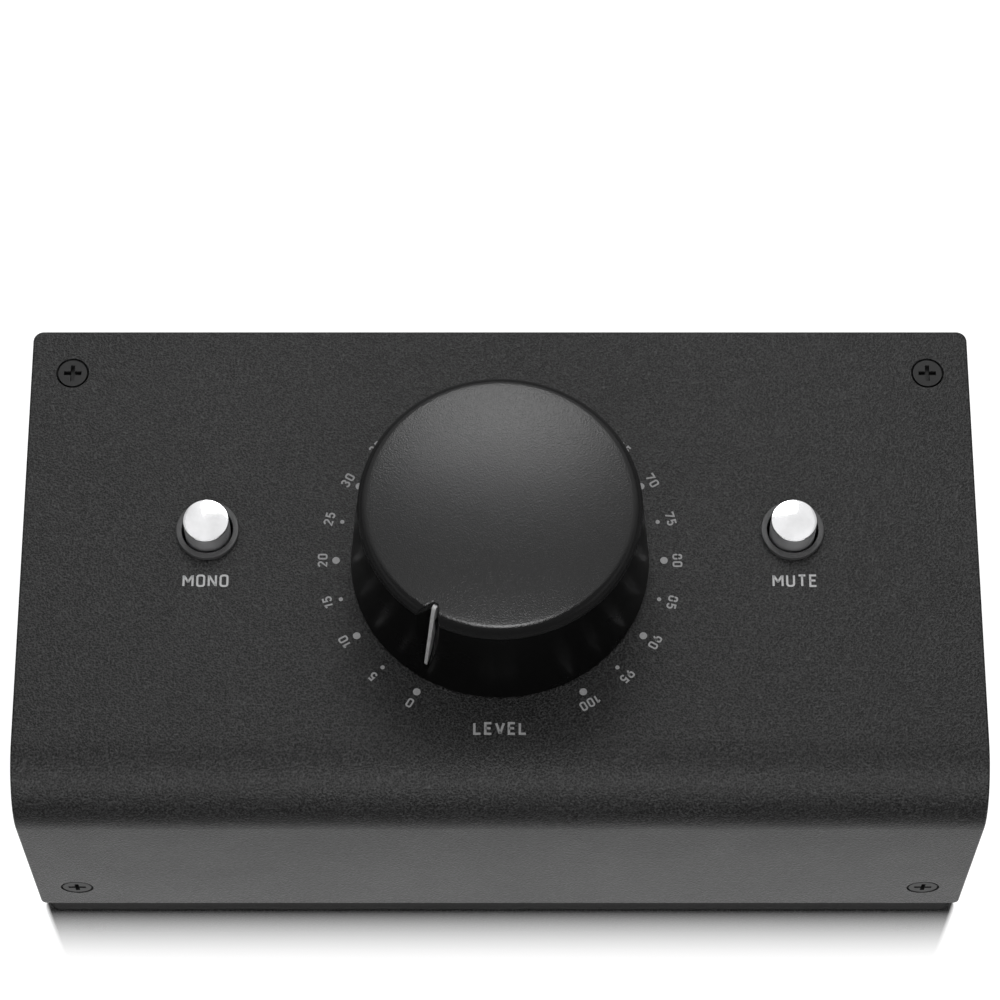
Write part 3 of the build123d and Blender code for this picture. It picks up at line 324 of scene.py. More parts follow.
def rounded_path(corners, setback, steps=6, closed=False):
    """Path through corners, each replaced by a parabola that starts and ends a setback from it."""
    corners = np.asarray(corners, float)
    before = np.roll(corners, 1, 0) - corners
    after = np.roll(corners, -1, 0) - corners
    reach = np.broadcast_to(np.asarray(setback, float), (len(corners),))[:, None]
    lengths = [np.linalg.norm(side, axis=1, keepdims=True) for side in (before, after)]
    start = corners + before / lengths[0] * np.minimum(reach, lengths[0] * 0.49)
    end = corners + after / lengths[1] * np.minimum(reach, lengths[1] * 0.49)
    if not closed:
        start[[0, -1]] = end[[0, -1]] = corners[[0, -1]]
    t = blend(0, 1, steps)[None, :, None]
    curve = bend(start[:, None], corners[:, None], end[:, None], t)
    return curve.reshape(-1, corners.shape[1])


def turned(path, x, y, z, columns=ROUND_STEPS):
    """Surface of revolution: each (radius, height) of the path goes once round the axis at x, y."""
    angle = np.arange(columns) * 2 * pi / columns
    radius, height = path[:, 0, None], path[:, 1, None]
    across = np.stack([x + radius * np.cos(angle), y + radius * np.sin(angle)], -1)
    lift = np.broadcast_to(z + height[..., None], across.shape[:2] + (1,))
    return np.concatenate([across, lift], -1)


# ---- knob ----

def halve(inside, low, high, rounds=36):
    """Where a test turns true between low and high, found for whole arrays by halving the span."""
    low, high = np.array(low, float), np.array(high, float)
    for _ in range(rounds):
        middle = (low + high) / 2
        hit = inside(middle)
        high = np.where(hit, middle, high)
        low = np.where(hit, low, middle)
    return high


def in_notch(along, across, height, knob):
    """Inside the notch: less than the wheel's radius from its hub, and between its leaning flanks."""
    hub = knob.notch_floor + knob.wheel_radius
    depth = knob.wheel_radius - np.hypot(hub - along, knob.height - height)
    return (depth > 0) & (np.abs(across) < knob.notch_width / 2 + knob.notch_spread * depth)


def cut_radius(angle, height, limit, knob):
    """Distance from the knob's axis at which a ray at this angle and height enters the notch."""

    def inside(radius):
        return in_notch(radius * np.cos(angle), radius * np.sin(angle), height, knob)

    return halve(inside, np.full(np.shape(angle), knob.notch_floor * 0.9), limit)


def cap_arcs(knob):
    """Radius of the cap's dome, tilt at the dome's edge, and lengths of dome and rim in the section."""
    flat = knob.rim_radius - knob.rim_round
    dome = (flat**2 + knob.crown**2) / (2 * knob.crown)
    tilt = asin(flat / (dome - knob.rim_round))
    return dome, tilt, dome * tilt, knob.rim_round * (pi / 2 - tilt)


def cap_profile(distance, knob):
    """Point of the cap's section at a distance along it: a dome, a round tangent to it, a drop."""
    dome, tilt, over_dome, over_rim = cap_arcs(knob)
    middle = knob.height + knob.crown - dome
    rim_middle = middle + (dome - knob.rim_round) * cos(tilt)
    on_dome = np.clip(distance, 0, over_dome) / dome
    on_rim = tilt + np.clip((distance - over_dome) / knob.rim_round, 0, pi / 2 - tilt)
    past = distance > over_dome
    flat = knob.rim_radius - knob.rim_round
    radius = np.where(past, flat + knob.rim_round * np.sin(on_rim), dome * np.sin(on_dome))
    round_height = rim_middle + knob.rim_round * np.cos(on_rim)
    height = np.where(past, round_height, middle + dome * np.cos(on_dome))
    return radius, height - np.clip(distance - over_dome - over_rim, 0, None)


def around(knob, angle, radius, height):
    """Points at an angle from the pointer, a radius from the axis and a height above the plate."""
    turn = knob.pointer_angle + angle
    shape = np.broadcast_shapes(np.shape(turn), np.shape(radius), np.shape(height))
    places = (radius * np.cos(turn), radius * np.sin(turn) + knob.axis_y, height + PLATE_TOP)
    return np.stack([np.broadcast_to(value, shape) for value in places], -1)


def notch_columns(mouth, count=34, rest=150):
    """Angles round the knob, close together across the notch and at its edges, wide apart elsewhere."""
    near = np.concatenate([blend(0, 0.86, count), blend(0.88, 1.16, 15), [1.22, 1.32, 1.5]])
    near = np.concatenate([-near[:0:-1], near]) * mouth
    far = blend(near[-1], 2 * pi + near[0], rest)[1:-1]
    return np.concatenate([near, far])


def make_cap(knob):
    """Cap: along each ray from the middle the section runs to the rim or the edge of the notch, turns
    over that edge on a parabola, and follows the cut down to the seam; a spigot closes it below."""
    over_dome, over_rim = cap_arcs(knob)[2:]
    length = over_dome + over_rim + cap_profile(over_dome + over_rim, knob)[1] - knob.seam
    angle = notch_columns(mouth_angle(np.array([knob.seam]), knob)[0])

    def enters(distance):
        radius, height = cap_profile(distance, knob)
        return in_notch(radius * np.cos(angle), radius * np.sin(angle), height, knob)

    edge = halve(enters, np.zeros_like(angle), np.full_like(angle, length))
    over = over_dome + blend(0, over_rim, 17)[1:]
    rows = np.concatenate([blend(0, over_dome, 34), over, [length]])
    upper = np.minimum(rows[:, None], (edge - knob.edge_round)[None, :])
    radius, height = cap_profile(upper, knob)
    corner = cap_profile(edge, knob)
    low = np.maximum(corner[1] - knob.edge_round, knob.seam)
    limit = np.full_like(angle, knob.rim_radius)
    below = cut_radius(angle, low, limit, knob)
    t = blend(0, 1, 6)[1:, None]
    round_radius = bend(radius[-1], corner[0], below, t)
    round_height = bend(height[-1], corner[1], low, t)
    drop = low + (knob.seam - low) * blend(0, 1, 8)[1:, None]
    wide = [np.broadcast_to(value, drop.shape) for value in (angle, limit)]
    wall = cut_radius(wide[0], drop, wide[1], knob)
    spigot_radius = np.array([SPIGOT_RADIUS, SPIGOT_RADIUS, 0.0])[:, None]
    spigot_height = (knob.seam - np.array([0, SPIGOT_DEPTH, SPIGOT_DEPTH]))[:, None]
    under = [np.broadcast_to(value, (3, angle.size)) for value in (spigot_radius, spigot_height)]
    all_radius = np.concatenate([radius, round_radius, wall, under[0]])
    all_height = np.concatenate([height, round_height, drop, under[1]])
    return around(knob, angle, all_radius, all_height)


def skirt_radius(height, knob):
    """Radius of the skirt's cone at a height."""
    share = (height - knob.gap) / (knob.seam - knob.gap)
    return knob.base_radius + (knob.rim_radius - knob.base_radius) * share


def mouth_angle(height, knob):
    """Half-angle of the notch where it opens on the skirt's cone; no less than that of its floor."""
    radius = skirt_radius(height, knob)

    def outside(angle):
        return ~in_notch(radius * np.cos(angle), radius * np.sin(angle), height, knob)

    floor = knob.notch_width / 2 / radius
    opening = halve(outside, floor, np.full_like(height, 0.2))
    return np.where(in_notch(radius, 0 * radius, height, knob), opening, floor)


def make_skirt(knob):
    """Skirt: a cone whose columns crowd at the notch's mouth, pulled in to the cut by a soft minimum,
    then the inner wall, deck and hub turned about the axis, with a thicker wall behind the notch."""
    lip = [knob.seam - 0.00002, knob.seam - 0.0001]
    height = np.concatenate([lip, blend(knob.seam - 0.0003, knob.gap, 60)])
    mouth = mouth_angle(height, knob)
    unit = notch_columns(1.0, count=22, rest=2)
    reach = unit[-1]
    near = mouth[:, None] * unit[None, :]
    share = blend(0, 1, 150)[None, 1:-1]
    far = near[:, -1:] + (2 * pi - 2 * mouth[:, None] * reach) * share
    angle = np.concatenate([near, far], 1)
    cone = np.broadcast_to(skirt_radius(height, knob)[:, None], angle.shape).copy()
    cone[0] -= 0.0001
    tall = np.broadcast_to(height[:, None], angle.shape)
    cut = cut_radius(angle, tall, cone + 0.004, knob)
    soft = np.maximum(knob.edge_round - np.abs(cone - cut), 0) / knob.edge_round
    outer = np.minimum(cone, cut) - soft**2 * knob.edge_round / 4
    deck = knob.seam - KNOB_WALL
    hub = [(HUB_RADIUS, deck), (HUB_RADIUS, HUB_FOOT)]
    bore = [(BORE_RADIUS, HUB_FOOT), (BORE_RADIUS, BORE_TOP), (0.0, BORE_TOP)]
    side = [(knob.base_radius - KNOB_WALL, knob.gap), (skirt_radius(deck, knob) - KNOB_WALL, deck)]
    inner = np.array(side + hub + bore)
    backing = np.clip(2.2 - np.abs(np.angle(np.exp(1j * angle[-1]))) / 0.08, 0, 1)
    plain = inner[:2, 0, None]
    wall = np.minimum(plain, plain * (1 - backing) + BACKING_RADIUS * backing)
    bottom = np.concatenate([wall, np.broadcast_to(inner[2:, 0, None], (5, angle.shape[1]))])
    bottom_height = np.broadcast_to(inner[:, 1, None], bottom.shape)
    top = np.array([0.0, SPIGOT_RADIUS, SPIGOT_RADIUS])[:, None]
    top = np.broadcast_to(top, (3, angle.shape[1]))
    lift = knob.seam - np.array([SPIGOT_DEPTH, SPIGOT_DEPTH, 0.0])
    top_height = np.broadcast_to(lift[:, None], top.shape)
    lower = np.broadcast_to(angle[-1], bottom.shape)
    upper = np.broadcast_to(angle[0], top.shape)
    return around(
        knob,
        np.concatenate([upper, angle, lower]),
        np.concatenate([top, outer, bottom]),
        np.concatenate([top_height, tall, bottom_height]),
    )


def make_ribs(knob, count=6):
    """Stiffening ribs under the deck: thin upright slabs from hub to wall, spaced evenly."""
    half, start, end, low, high = 0.0006, 0.0067, 0.0180, 0.0100, 0.0152
    slabs = []
    for turn in range(count):
        heading = turn * 2 * pi / count
        out = np.array([cos(heading), sin(heading)])
        side = np.array([-sin(heading), cos(heading)]) * half
        ring = np.array([out * start - side, out * end - side, out * end + side, out * start + side])
        middle = np.broadcast_to(ring.mean(0), ring.shape)
        levels = [(middle, low), (ring, low), (ring, high), (middle, high)]
        slab = [np.c_[flat + [0, knob.axis_y], np.full(4, PLATE_TOP + z)] for flat, z in levels]
        slabs.append(np.stack(slab))
    return slabs


def make_pointer(knob):
    """Pointer: a leaf outline in the upright plane through the axis, carried across the blade's width
    and drawn in near both sides so that its edges are rounded; it thins towards its lower tip."""
    corners = [(16.4, 18.2), (17.4, 18.45), (17.78, 18.15), (20.42, 4.4), (19.4, 3.6), (17.4, 11.0)]
    setbacks = [0.2, 0.3, 0.35, 0.5, 0.5, 1.0]
    outline = rounded_path(np.array(corners), setbacks, 8, closed=True) / 1000
    ahead = np.roll(outline, -1, 0) - np.roll(outline, 1, 0)
    inward = np.stack([-ahead[:, 1], ahead[:, 0]], 1) / np.linalg.norm(ahead, axis=1)[:, None]
    middle = outline.mean(0)
    inward *= np.sign(((middle - outline) * inward).sum(1).mean())
    turn = blend(0, pi / 2, 5)
    edge, half = 0.00006, knob.pointer_width / 2
    inset = np.concatenate([edge * (1 - np.sin(turn)), edge * (1 - np.cos(turn))])
    side = half - np.concatenate([edge * (1 - np.cos(turn)), 2 * half - edge * (1 - np.sin(turn))])
    rows = outline[None] + inward[None] * inset[:, None, None]
    spine = np.clip(outline[:, 1], 0.006, 0.0165)
    spine = np.stack([np.interp(spine, [0.006, 0.0165], [0.0192, 0.0174]), spine], 1)
    rows = np.concatenate([spine[None], rows, spine[None]])
    out, height = rows[..., 0], rows[..., 1]
    tip_share, tip_height, taper = 0.35, 0.0036, 0.003
    share = np.clip(tip_share + (height - tip_height) / taper, tip_share, 1)
    side = np.concatenate([[half], side, [-half]])[:, None] * share
    return around(knob, np.arctan2(side, out), np.hypot(out, side), height)


class CONTROLLER_OT_build_knob(bpy.types.Operator):
    """Build the knob's skirt, cap and pointer"""

    bl_idname = "controller.build_knob"
    bl_label = "Build Knob"

    def execute(self, context):
        knob = context.scene.controller_knob
        skirt = build_piece("level_knob_skirt", [make_skirt(knob), *make_ribs(knob)], sharp=50)
        place_piece(skirt, "level_knob", gloss_black(knob.body_colour), ["knob_body"])
        cap = build_piece("level_knob_cap", [make_cap(knob)], sharp=50)
        place_piece(cap, "level_knob", matt_cap(knob.cap_colour), ["knob_cap"])
        pointer = build_piece("level_knob_pointer", [make_pointer(knob)], sharp=50)
        grey = pointer_paint(knob.pointer_colour)
        place_piece(pointer, "level_knob", grey, ["knob_pointer"])
        return {"FINISHED"}


# ---- buttons ----

def make_button_cap(button, x, node):
    """Button cap: a shallow parabola with a fine rounded edge and a straight side, turned."""
    low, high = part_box(node)
    bottom, top = low.z - PLATE_TOP, high.z - PLATE_TOP
    radius, ceiling = button.cap_radius, top - 0.0016
    crown = blend(0, 1, 14)[:, None] * np.array([[radius - button.cap_edge, 0]])
    crown[:, 1] = top - button.crown * (crown[:, 0] / radius) ** 2
    turn = blend(0, pi / 2, 8)[1:]
    edge = np.stack([np.sin(turn) - 1, np.cos(turn) - 1], 1) * button.cap_edge
    edge = edge + np.array([radius, crown[-1, 1]])
    chamfer = 0.0002
    side = np.stack([np.full(6, radius), blend(edge[-1, 1], bottom + chamfer, 6)], 1)[1:]
    foot = np.array([(radius - chamfer, bottom)])
    shell = turned(np.concatenate([crown, edge, side, foot]), x, button.axis_y, PLATE_TOP)
    angle = np.arange(ROUND_STEPS) * 2 * pi / ROUND_STEPS
    across = np.stack([np.cos(angle), np.sin(angle)], -1)
    square = button.socket / 2 / np.abs(across).max(1)
    rings = []
    for reach, z in ((square, bottom), (square, ceiling), (0 * square, ceiling)):
        flat = [x, button.axis_y] + reach[:, None] * across
        rings.append(np.c_[flat, np.full(ROUND_STEPS, PLATE_TOP + z)])
    return np.concatenate([shell, np.stack(rings)])


def make_bezel(button, x):
    """Ring round a button: a low rounded collar on the plate with a barbed neck below it, turned."""
    neck, barb, sheet, below, play = 0.00405, 0.00425, 0.002, 0.0008, 0.0001
    bore, radius, height = button.bezel_bore, button.bezel_radius, button.bezel_height
    foot, step = -sheet - below, -sheet - play
    under = [(bore, foot), (neck, foot), (barb, step), (neck, step)]
    corners = [*under, (neck, 0.0), (radius, 0.0), (radius, height), (bore, height)]
    setbacks = [0.00002, 0.00002, 0.00002, 0.00001, 0.00001, 0.00004, 0.00012, 0.00008]
    path = rounded_path(corners, setbacks, 7, closed=True)
    path = np.concatenate([path, path[:1]])
    return turned(path, x, button.axis_y, PLATE_TOP, 128)


class CONTROLLER_OT_build_buttons(bpy.types.Operator):
    """Build the caps and bezels of both buttons"""

    bl_idname = "controller.build_buttons"
    bl_label = "Build Buttons"

    def execute(self, context):
        button = context.scene.controller_buttons
        bright, ring = polished_metal(), satin_ring()
        for side, name in zip((-1, 1), BUTTONS):
            x = side * button.spacing
            cap = build_piece(name + "_cap", [make_button_cap(button, x, name + "_button_cap")])
            place_piece(cap, name + "_button", bright, [name + "_button_cap"])
            bezel = build_piece(name + "_ring", [make_bezel(button, x)])
            place_piece(bezel, "casing", ring, [name + "_bezel"])
        return {"FINISHED"}


def make_spring(low, high, wire=0.00016, turns=5):
    """Spring: a small circle carried along a helix, square to it, from the height of low to high."""
    middle = (low + high) / 2
    radius = (high.x - low.x) / 2 - wire
    turn = blend(0, 2 * pi * turns, 48 * turns + 1)
    rise = (high.z - low.z - 2 * wire) / (2 * pi * turns)
    outward = np.stack([np.cos(turn), np.sin(turn), 0 * turn], 1)
    along = np.stack([-radius * np.sin(turn), radius * np.cos(turn), rise + 0 * turn], 1)
    across = np.cross(along / np.hypot(radius, rise), outward)
    axis = np.stack([middle.x + 0 * turn, middle.y + 0 * turn, low.z + wire + rise * turn], 1)
    spine = radius * outward + axis
    angle = (np.arange(12) * 2 * pi / 12)[None, :, None]
    tube = spine[:, None] + wire * (np.cos(angle) * outward[:, None] + np.sin(angle) * across[:, None])
    ends = np.broadcast_to(spine[[0, -1], None], (2, 12, 3))
    return np.concatenate([ends[:1], tube, ends[1:]])


class CONTROLLER_OT_build_springs(bpy.types.Operator):
    """Build the return springs of the buttons"""

    bl_idname = "controller.build_springs"
    bl_label = "Build Springs"

    def execute(self, context):
        for name in BUTTONS:
            node = name + "_return_spring"
            low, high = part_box(node)
            steel = frame["nodes"][node].material_slots[0].material
            spring = build_piece(name + "_spring", [make_spring(low, high)])
            place_piece(spring, "casing", steel, [node])
            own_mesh(spring)
        return {"FINISHED"}


# ---- printing ----

def bow(x, y, wide, tall, start, end, count=9):
    """Part of an ellipse, from a start angle to an end angle in degrees."""
    angle = np.radians(blend(start, end, count))
    return np.stack([x + wide * np.cos(angle), y + tall * np.sin(angle)], 1)


def loop(x0, y0, x1, y1, corner=0.2):
    """Closed box with round corners, the shape of a condensed letter O."""
    box = [(x0, y0), (x1, y0), (x1, y1), (x0, y1)]
    path = rounded_path(np.array(box), corner, 7, closed=True)
    return np.concatenate([path, path[:1]])


def line(*points):
    """Straight strokes from point to point."""
    return np.array(points, float)


def joined(*paths):
    """One stroke out of several that follow each other."""
    return np.concatenate(paths)


def strokes():
    """Strokes of each sign on a body 1 high: its width and its paths."""
    two = joined(bow(0.23, 0.74, 0.23, 0.26, 170, -10), line((0.40, 0.56), (0.0, 0.0), (0.47, 0.0)))
    three = joined(bow(0.22, 0.76, 0.22, 0.24, 160, -70), bow(0.21, 0.27, 0.25, 0.27, 75, -165))
    five = joined(line((0.42, 1), (0.04, 1), (0.03, 0.55)), bow(0.22, 0.31, 0.24, 0.31, 110, -155))
    left, right = bow(0.22, 0.22, 0.22, 0.22, 180, 270), bow(0.28, 0.22, 0.22, 0.22, 270, 360)
    valley = [line((0.04, 0.95), (0.34, 0.36)), line((0.32, 0.36), (0.62, 0.95))]
    slant = line((0.03, 0.95), (0.49, 0.05))
    return {
        "0": (0.46, [loop(0, 0, 0.46, 1)]),
        "1": (0.30, [line((0, 0.74), (0.24, 0.96)), line((0.26, 1), (0.26, 0))]),
        "2": (0.46, [two]),
        "3": (0.46, [three]),
        "4": (0.52, [line((0.30, 1), (0.0, 0.24), (0.52, 0.24)), line((0.36, 0.48), (0.36, 0))]),
        "5": (0.46, [five]),
        "6": (0.46, [loop(0, 0, 0.46, 0.60), line((0.02, 0.36), (0.30, 1))]),
        "7": (0.46, [line((0, 0.86), (0, 1), (0.46, 1), (0.16, 0))]),
        "8": (0.46, [loop(0, 0, 0.46, 0.54), loop(0.03, 0.54, 0.43, 1)]),
        "9": (0.46, [loop(0, 0.40, 0.46, 1), line((0.44, 0.64), (0.16, 0))]),
        "L": (0.42, [line((0, 1), (0, 0), (0.44, 0))]),
        "E": (0.42, [line((0.44, 1), (0, 1), (0, 0), (0.44, 0)), line((0, 0.52), (0.38, 0.52))]),
        "V": (0.54, [line((0, 1), (0.26, 0.02)), line((0.28, 0.02), (0.54, 1))]),
        "M": (0.66, [line((0, 0), (0, 1)), *valley, line((0.66, 1), (0.66, 0))]),
        "O": (0.50, [loop(0, 0, 0.50, 1)]),
        "N": (0.52, [line((0, 0), (0, 1)), slant, line((0.52, 0), (0.52, 1))]),
        "U": (0.50, [joined(line((0, 1)), left, right, line((0.50, 1)))]),
        "T": (0.50, [line((0, 1), (0.50, 1)), line((0.25, 1), (0.25, 0))]),
    }


def ribbon(path, width):
    """Flat band along a path: two rows half a width to each side, mitred where the path turns."""
    keep = np.concatenate([[True], np.linalg.norm(np.diff(path, axis=0), axis=1) > 1e-6])
    path = path[keep]
    step = np.diff(path, axis=0)
    step /= np.linalg.norm(step, axis=1, keepdims=True)
    closed = np.linalg.norm(path[0] - path[-1]) < 1e-6
    before = np.concatenate([step[-1:] if closed else step[:1], step])
    after = np.concatenate([step, step[:1] if closed else step[-1:]])
    both = before + after
    normal = np.stack([-both[:, 1], both[:, 0]], 1)
    normal /= np.linalg.norm(normal, axis=1, keepdims=True)
    square = np.stack([-before[:, 1], before[:, 0]], 1)
    longest_mitre = 1.6
    mitre = np.minimum(1 / np.maximum((normal * square).sum(1), 0.05), longest_mitre)[:, None]
    return np.stack([path - normal * mitre * width / 2, path + normal * mitre * width / 2])


def words(text, height, stroke, gap=0.19):
    """Ribbons of a row of signs, centred on the origin; signs stand a gap apart."""
    signs = strokes()
    wide = [signs[sign][0] for sign in text]
    total = sum(wide) + (gap + stroke) * (len(text) - 1)
    x = -total / 2
    bands = []
    for sign, width in zip(text, wide):
        for path in signs[sign][1]:
            shrink = np.array([1, 1 - stroke])
            bands.append(ribbon(path * shrink + np.array([x, stroke / 2 - 0.5]), stroke) * height)
        x += width + gap + stroke
    return bands


def disc(radius, count=24):
    """Round dot as rings from its middle to its rim."""
    angle = np.arange(count + 1) * 2 * pi / count
    rim = radius * np.stack([np.cos(angle), np.sin(angle)], 1)
    return np.stack([0 * rim, rim])


def printed(flat, x, y, turn, ink):
    """Flat print turned and moved to its place, just above the plate."""
    spin = np.array([[cos(turn), sin(turn)], [-sin(turn), cos(turn)]])
    top = flat @ spin + np.array([x, y])
    lift = np.full(top.shape[:2] + (1,), PLATE_TOP + ink.thickness)
    return np.concatenate([top, lift], -1)


def make_dial(ink, knob):
    """Dial: a dot and a number every fifteen degrees round the knob, and the word in front of it."""
    grids = []
    for value in range(0, 101, 5):
        heading = radians(240.0 - 3.0 * value)
        out = np.array([cos(heading), sin(heading)])
        dot = out * ink.dot_circle
        radius = SMALL_DOT if value % 10 else LARGE_DOT
        grids.append(printed(disc(radius), dot[0], dot[1] + knob.axis_y, 0, ink))
        spot = out * ink.number_circle
        for band in words(str(value), ink.number_height, DIAL_STROKE):
            grids.append(printed(band, spot[0], spot[1] + knob.axis_y, heading - pi / 2, ink))
    for band in words("LEVEL", ink.word_height, DIAL_STROKE):
        grids.append(printed(band, 0.0, LEVEL_Y, 0, ink))
    return grids


def make_words(ink, button):
    """One word in front of each button."""
    grids = []
    for word, x in (("MONO", -button.spacing - 0.00007), ("MUTE", button.spacing + 0.0001)):
        for band in words(word, ink.word_height, WORD_STROKE):
            grids.append(printed(band, x, BUTTON_WORD_Y, 0, ink))
    return grids


def build_print(name, grids, colour):
    """Print in one colour, with every face up."""
    piece = build_piece(name, grids, closed=False)
    flip = bmesh.new()
    flip.from_mesh(piece.data)
    bmesh.ops.reverse_faces(flip, faces=[face for face in flip.faces if face.normal.z < 0])
    flip.to_mesh(piece.data)
    flip.free()
    place_piece(piece, "casing", ink_paint(name, colour))


class CONTROLLER_OT_print_plate(bpy.types.Operator):
    """Print the dial round the knob and the words on the plate"""

    bl_idname = "controller.print_plate"
    bl_label = "Print Plate"

    def execute(self, context):
        scene = context.scene
        ink = scene.controller_print
        # the dial gets the darker ink, which paints the knob's shade onto it
        build_print("dial_print", make_dial(ink, scene.controller_knob), ink.dial_colour)
        build_print("word_print", make_words(ink, scene.controller_buttons), ink.colour)
        return {"FINISHED"}


# ---- effects shared by the materials ----

def feed(tree, sockets, values):
    """Sets each named socket to a plain value, or links it where the value is another socket."""
    for name, value in values.items():
        if isinstance(value, bpy.types.NodeSocket):
            tree.links.new(value, sockets[name])
        else:
            sockets[name].default_value = value


def add(tree, kind, inputs=None, **options):
    """One shader node with its options; inputs hold plain values or the sockets that feed them."""
    node = tree.nodes.new("ShaderNode" + kind)
    for name, value in options.items():
        setattr(node, name, value)
    feed(tree, node.inputs, inputs or {})
    return node


def maths(tree, operation, *values):
    """Result of one Math node."""
    return add(tree, "Math", dict(enumerate(values)), operation=operation).outputs[0]


def ramp(tree, value, start, end, low=0.0, high=1.0):
    """Value carried in a straight line from the span start to end onto low to high, held beyond it."""
    spans = {"Value": value, "From Min": start, "From Max": end, "To Min": low, "To Max": high}
    return add(tree, "MapRange", spans).outputs["Result"]


def new_group(name, inputs, outputs):
    """Empty shader group with named sockets; inputs give their kind and default."""
    group = bpy.data.node_groups.new(name, "ShaderNodeTree")
    for label, (kind, default) in inputs.items():
        socket = group.interface.new_socket(name=label, in_out="INPUT", socket_type="NodeSocket" + kind)
        if default is not None:
            socket.default_value = default
    for label, kind in outputs.items():
        group.interface.new_socket(name=label, in_out="OUTPUT", socket_type="NodeSocket" + kind)
    source, result = group.nodes.new("NodeGroupInput"), group.nodes.new("NodeGroupOutput")
    return group, source.outputs, result.inputs


def grain_group(name):
    """Pebbled skin: smooth cells over fine noise, as a height from 0 to 1, and a slow mask."""
    takes = {"Vector": ("Vector", None), "Scale": ("Float", 3000.0), "Softness": ("Float", 0.5)}
    group, given, result = new_group(name, takes, {"Height": "Float", "Mask": "Float"})
    here = {"Vector": given["Vector"], "Scale": given["Scale"]}
    soft = {**here, "Smoothness": given["Softness"]}
    cells = add(group, "TexVoronoi", soft, feature="SMOOTH_F1")
    noise = add(group, "TexNoise", {**here, "Detail": 3.0, "Roughness": 0.6})
    both = {"Factor": 0.6, 2: cells.outputs["Distance"], 3: noise.outputs["Fac"]}
    height = ramp(group, add(group, "Mix", both).outputs[0], 0.3, 0.7)
    slow = add(group, "TexNoise", {"Vector": given["Vector"], "Scale": 60.0, "Detail": 2.0})
    feed(group, result, {"Height": height, "Mask": slow.outputs["Fac"]})
    return group


def tint_group(name):
    """Colour that drifts a little lighter and darker with a mask."""
    takes = {"Colour": ("Color", None), "Mask": ("Float", 0.5), "Amount": ("Float", 0.1)}
    group, given, result = new_group(name, takes, {"Colour": "Color"})
    centred = maths(group, "SUBTRACT", given["Mask"], 0.5)
    factor = maths(group, "ADD", maths(group, "MULTIPLY", centred, given["Amount"]), 1.0)
    floored = maths(group, "MAXIMUM", factor, DARKEST_TINT_SHARE)
    scaled = {0: given["Colour"], "Scale": floored}
    product = add(group, "VectorMath", scaled, operation="SCALE")
    feed(group, result, {"Colour": product.outputs["Vector"]})
    return group


def handled_group(name):
    """Uneven gloss: slow smudges, as a roughness between two values."""
    takes = {"Vector": ("Vector", None), "Scale": ("Float", 90.0)}
    takes.update({"Low": ("Float", 0.3), "High": ("Float", 0.4)})
    group, given, result = new_group(name, takes, {"Roughness": "Float", "Mask": "Float"})
    smudge = {"Detail": 4.0, "Roughness": 0.6, "Distortion": 0.4}
    smudge.update({"Vector": given["Vector"], "Scale": given["Scale"]})
    noise = add(group, "TexNoise", smudge).outputs["Fac"]
    spread = ramp(group, noise, 0.3, 0.7, given["Low"], given["High"])
    feed(group, result, {"Roughness": spread, "Mask": noise})
    return group


def use_group(tree, name, build, **values):
    """A shared group, built on first use, placed in a material with its own values."""
    group = bpy.data.node_groups.get(name) or build(name)
    return add(tree, "Group", values, node_tree=group)


# ---- materials ----

def principled(name, **values):
    """New material with one Principled BSDF; values are its plain sockets, spaces as underscores."""
    material = bpy.data.materials.new(name)
    material.use_nodes = True
    tree = material.node_tree
    shader = tree.nodes["Principled BSDF"]
    feed(tree, shader.inputs, {label.replace("_", " "): value for label, value in values.items()})
    return material, tree, shader, add(tree, "TexCoord").outputs["Object"]


def dress(name, colour, grain, rise, low, high, drift=0.12, painted_grain_shade=0.2, **values):
    """Finish with a pebbled bump of that grain width and rise, a roughness that wanders between low and
    high, and a colour that drifts slowly and carries painted shade of the grain: lighter on its
    raised tops, darker in its pits."""
    material, tree, shader, here = principled(name, **values)
    pebble = use_group(tree, "Pebble Grain", grain_group, Vector=here, Scale=1 / grain).outputs
    colour = (*colour[:3], 1.0)
    # the second pass paints shade of the grain into the colour: lighter on its raised tops, darker in
    # its pits
    for mask, amount in (("Mask", drift), ("Height", painted_grain_shade)):
        values = {"Colour": colour, "Mask": pebble[mask], "Amount": amount}
        colour = use_group(tree, "Colour Drift", tint_group, **values).outputs["Colour"]
    gloss = use_group(tree, "Uneven Gloss", handled_group, Vector=here, Low=low, High=high)
    bump = add(tree, "Bump", {"Height": pebble["Height"], "Distance": rise, "Strength": 1.0})
    feeds = {"Base Color": colour, "Roughness": gloss.outputs["Roughness"]}
    feed(tree, shader.inputs, {**feeds, "Normal": bump.outputs["Normal"]})
    return material


def powder_coat(coat):
    """Dark powder coat of the cover: fine hard grain, low sheen."""
    look = coat.cover_colour, coat.grain_size, coat.grain_height, 0.36, 0.40
    # painted shade of the grain: a strong setting makes the coat much lighter on the grain's tops and
    # darker in its pits
    return dress("powder_coat", *look, painted_grain_shade=3.2, Specular_IOR_Level=0.39)


def pad_rubber(coat):
    """Dull rubber with a fine skin."""
    return dress("pad_rubber", coat.pad_colour, 0.0005, 0.00002, 0.75, 0.9, Specular_IOR_Level=0.01)


def gloss_black(colour):
    """High gloss black plastic with faint handling marks."""
    return dress("knob_gloss", colour, 0.004, 0.000004, 0.26, 0.32, Specular_IOR_Level=0.16)


def matt_cap(colour):
    """Matt plastic with a fine grain that scatters the lamps."""
    return dress("knob_matt", colour, 0.0002, 0.000012, 0.14, 0.17, Specular_IOR_Level=0.31)


def pointer_paint(colour):
    """Light grey paint."""
    return dress("pointer_grey", colour, 0.0006, 0.000004, 0.45, 0.6)


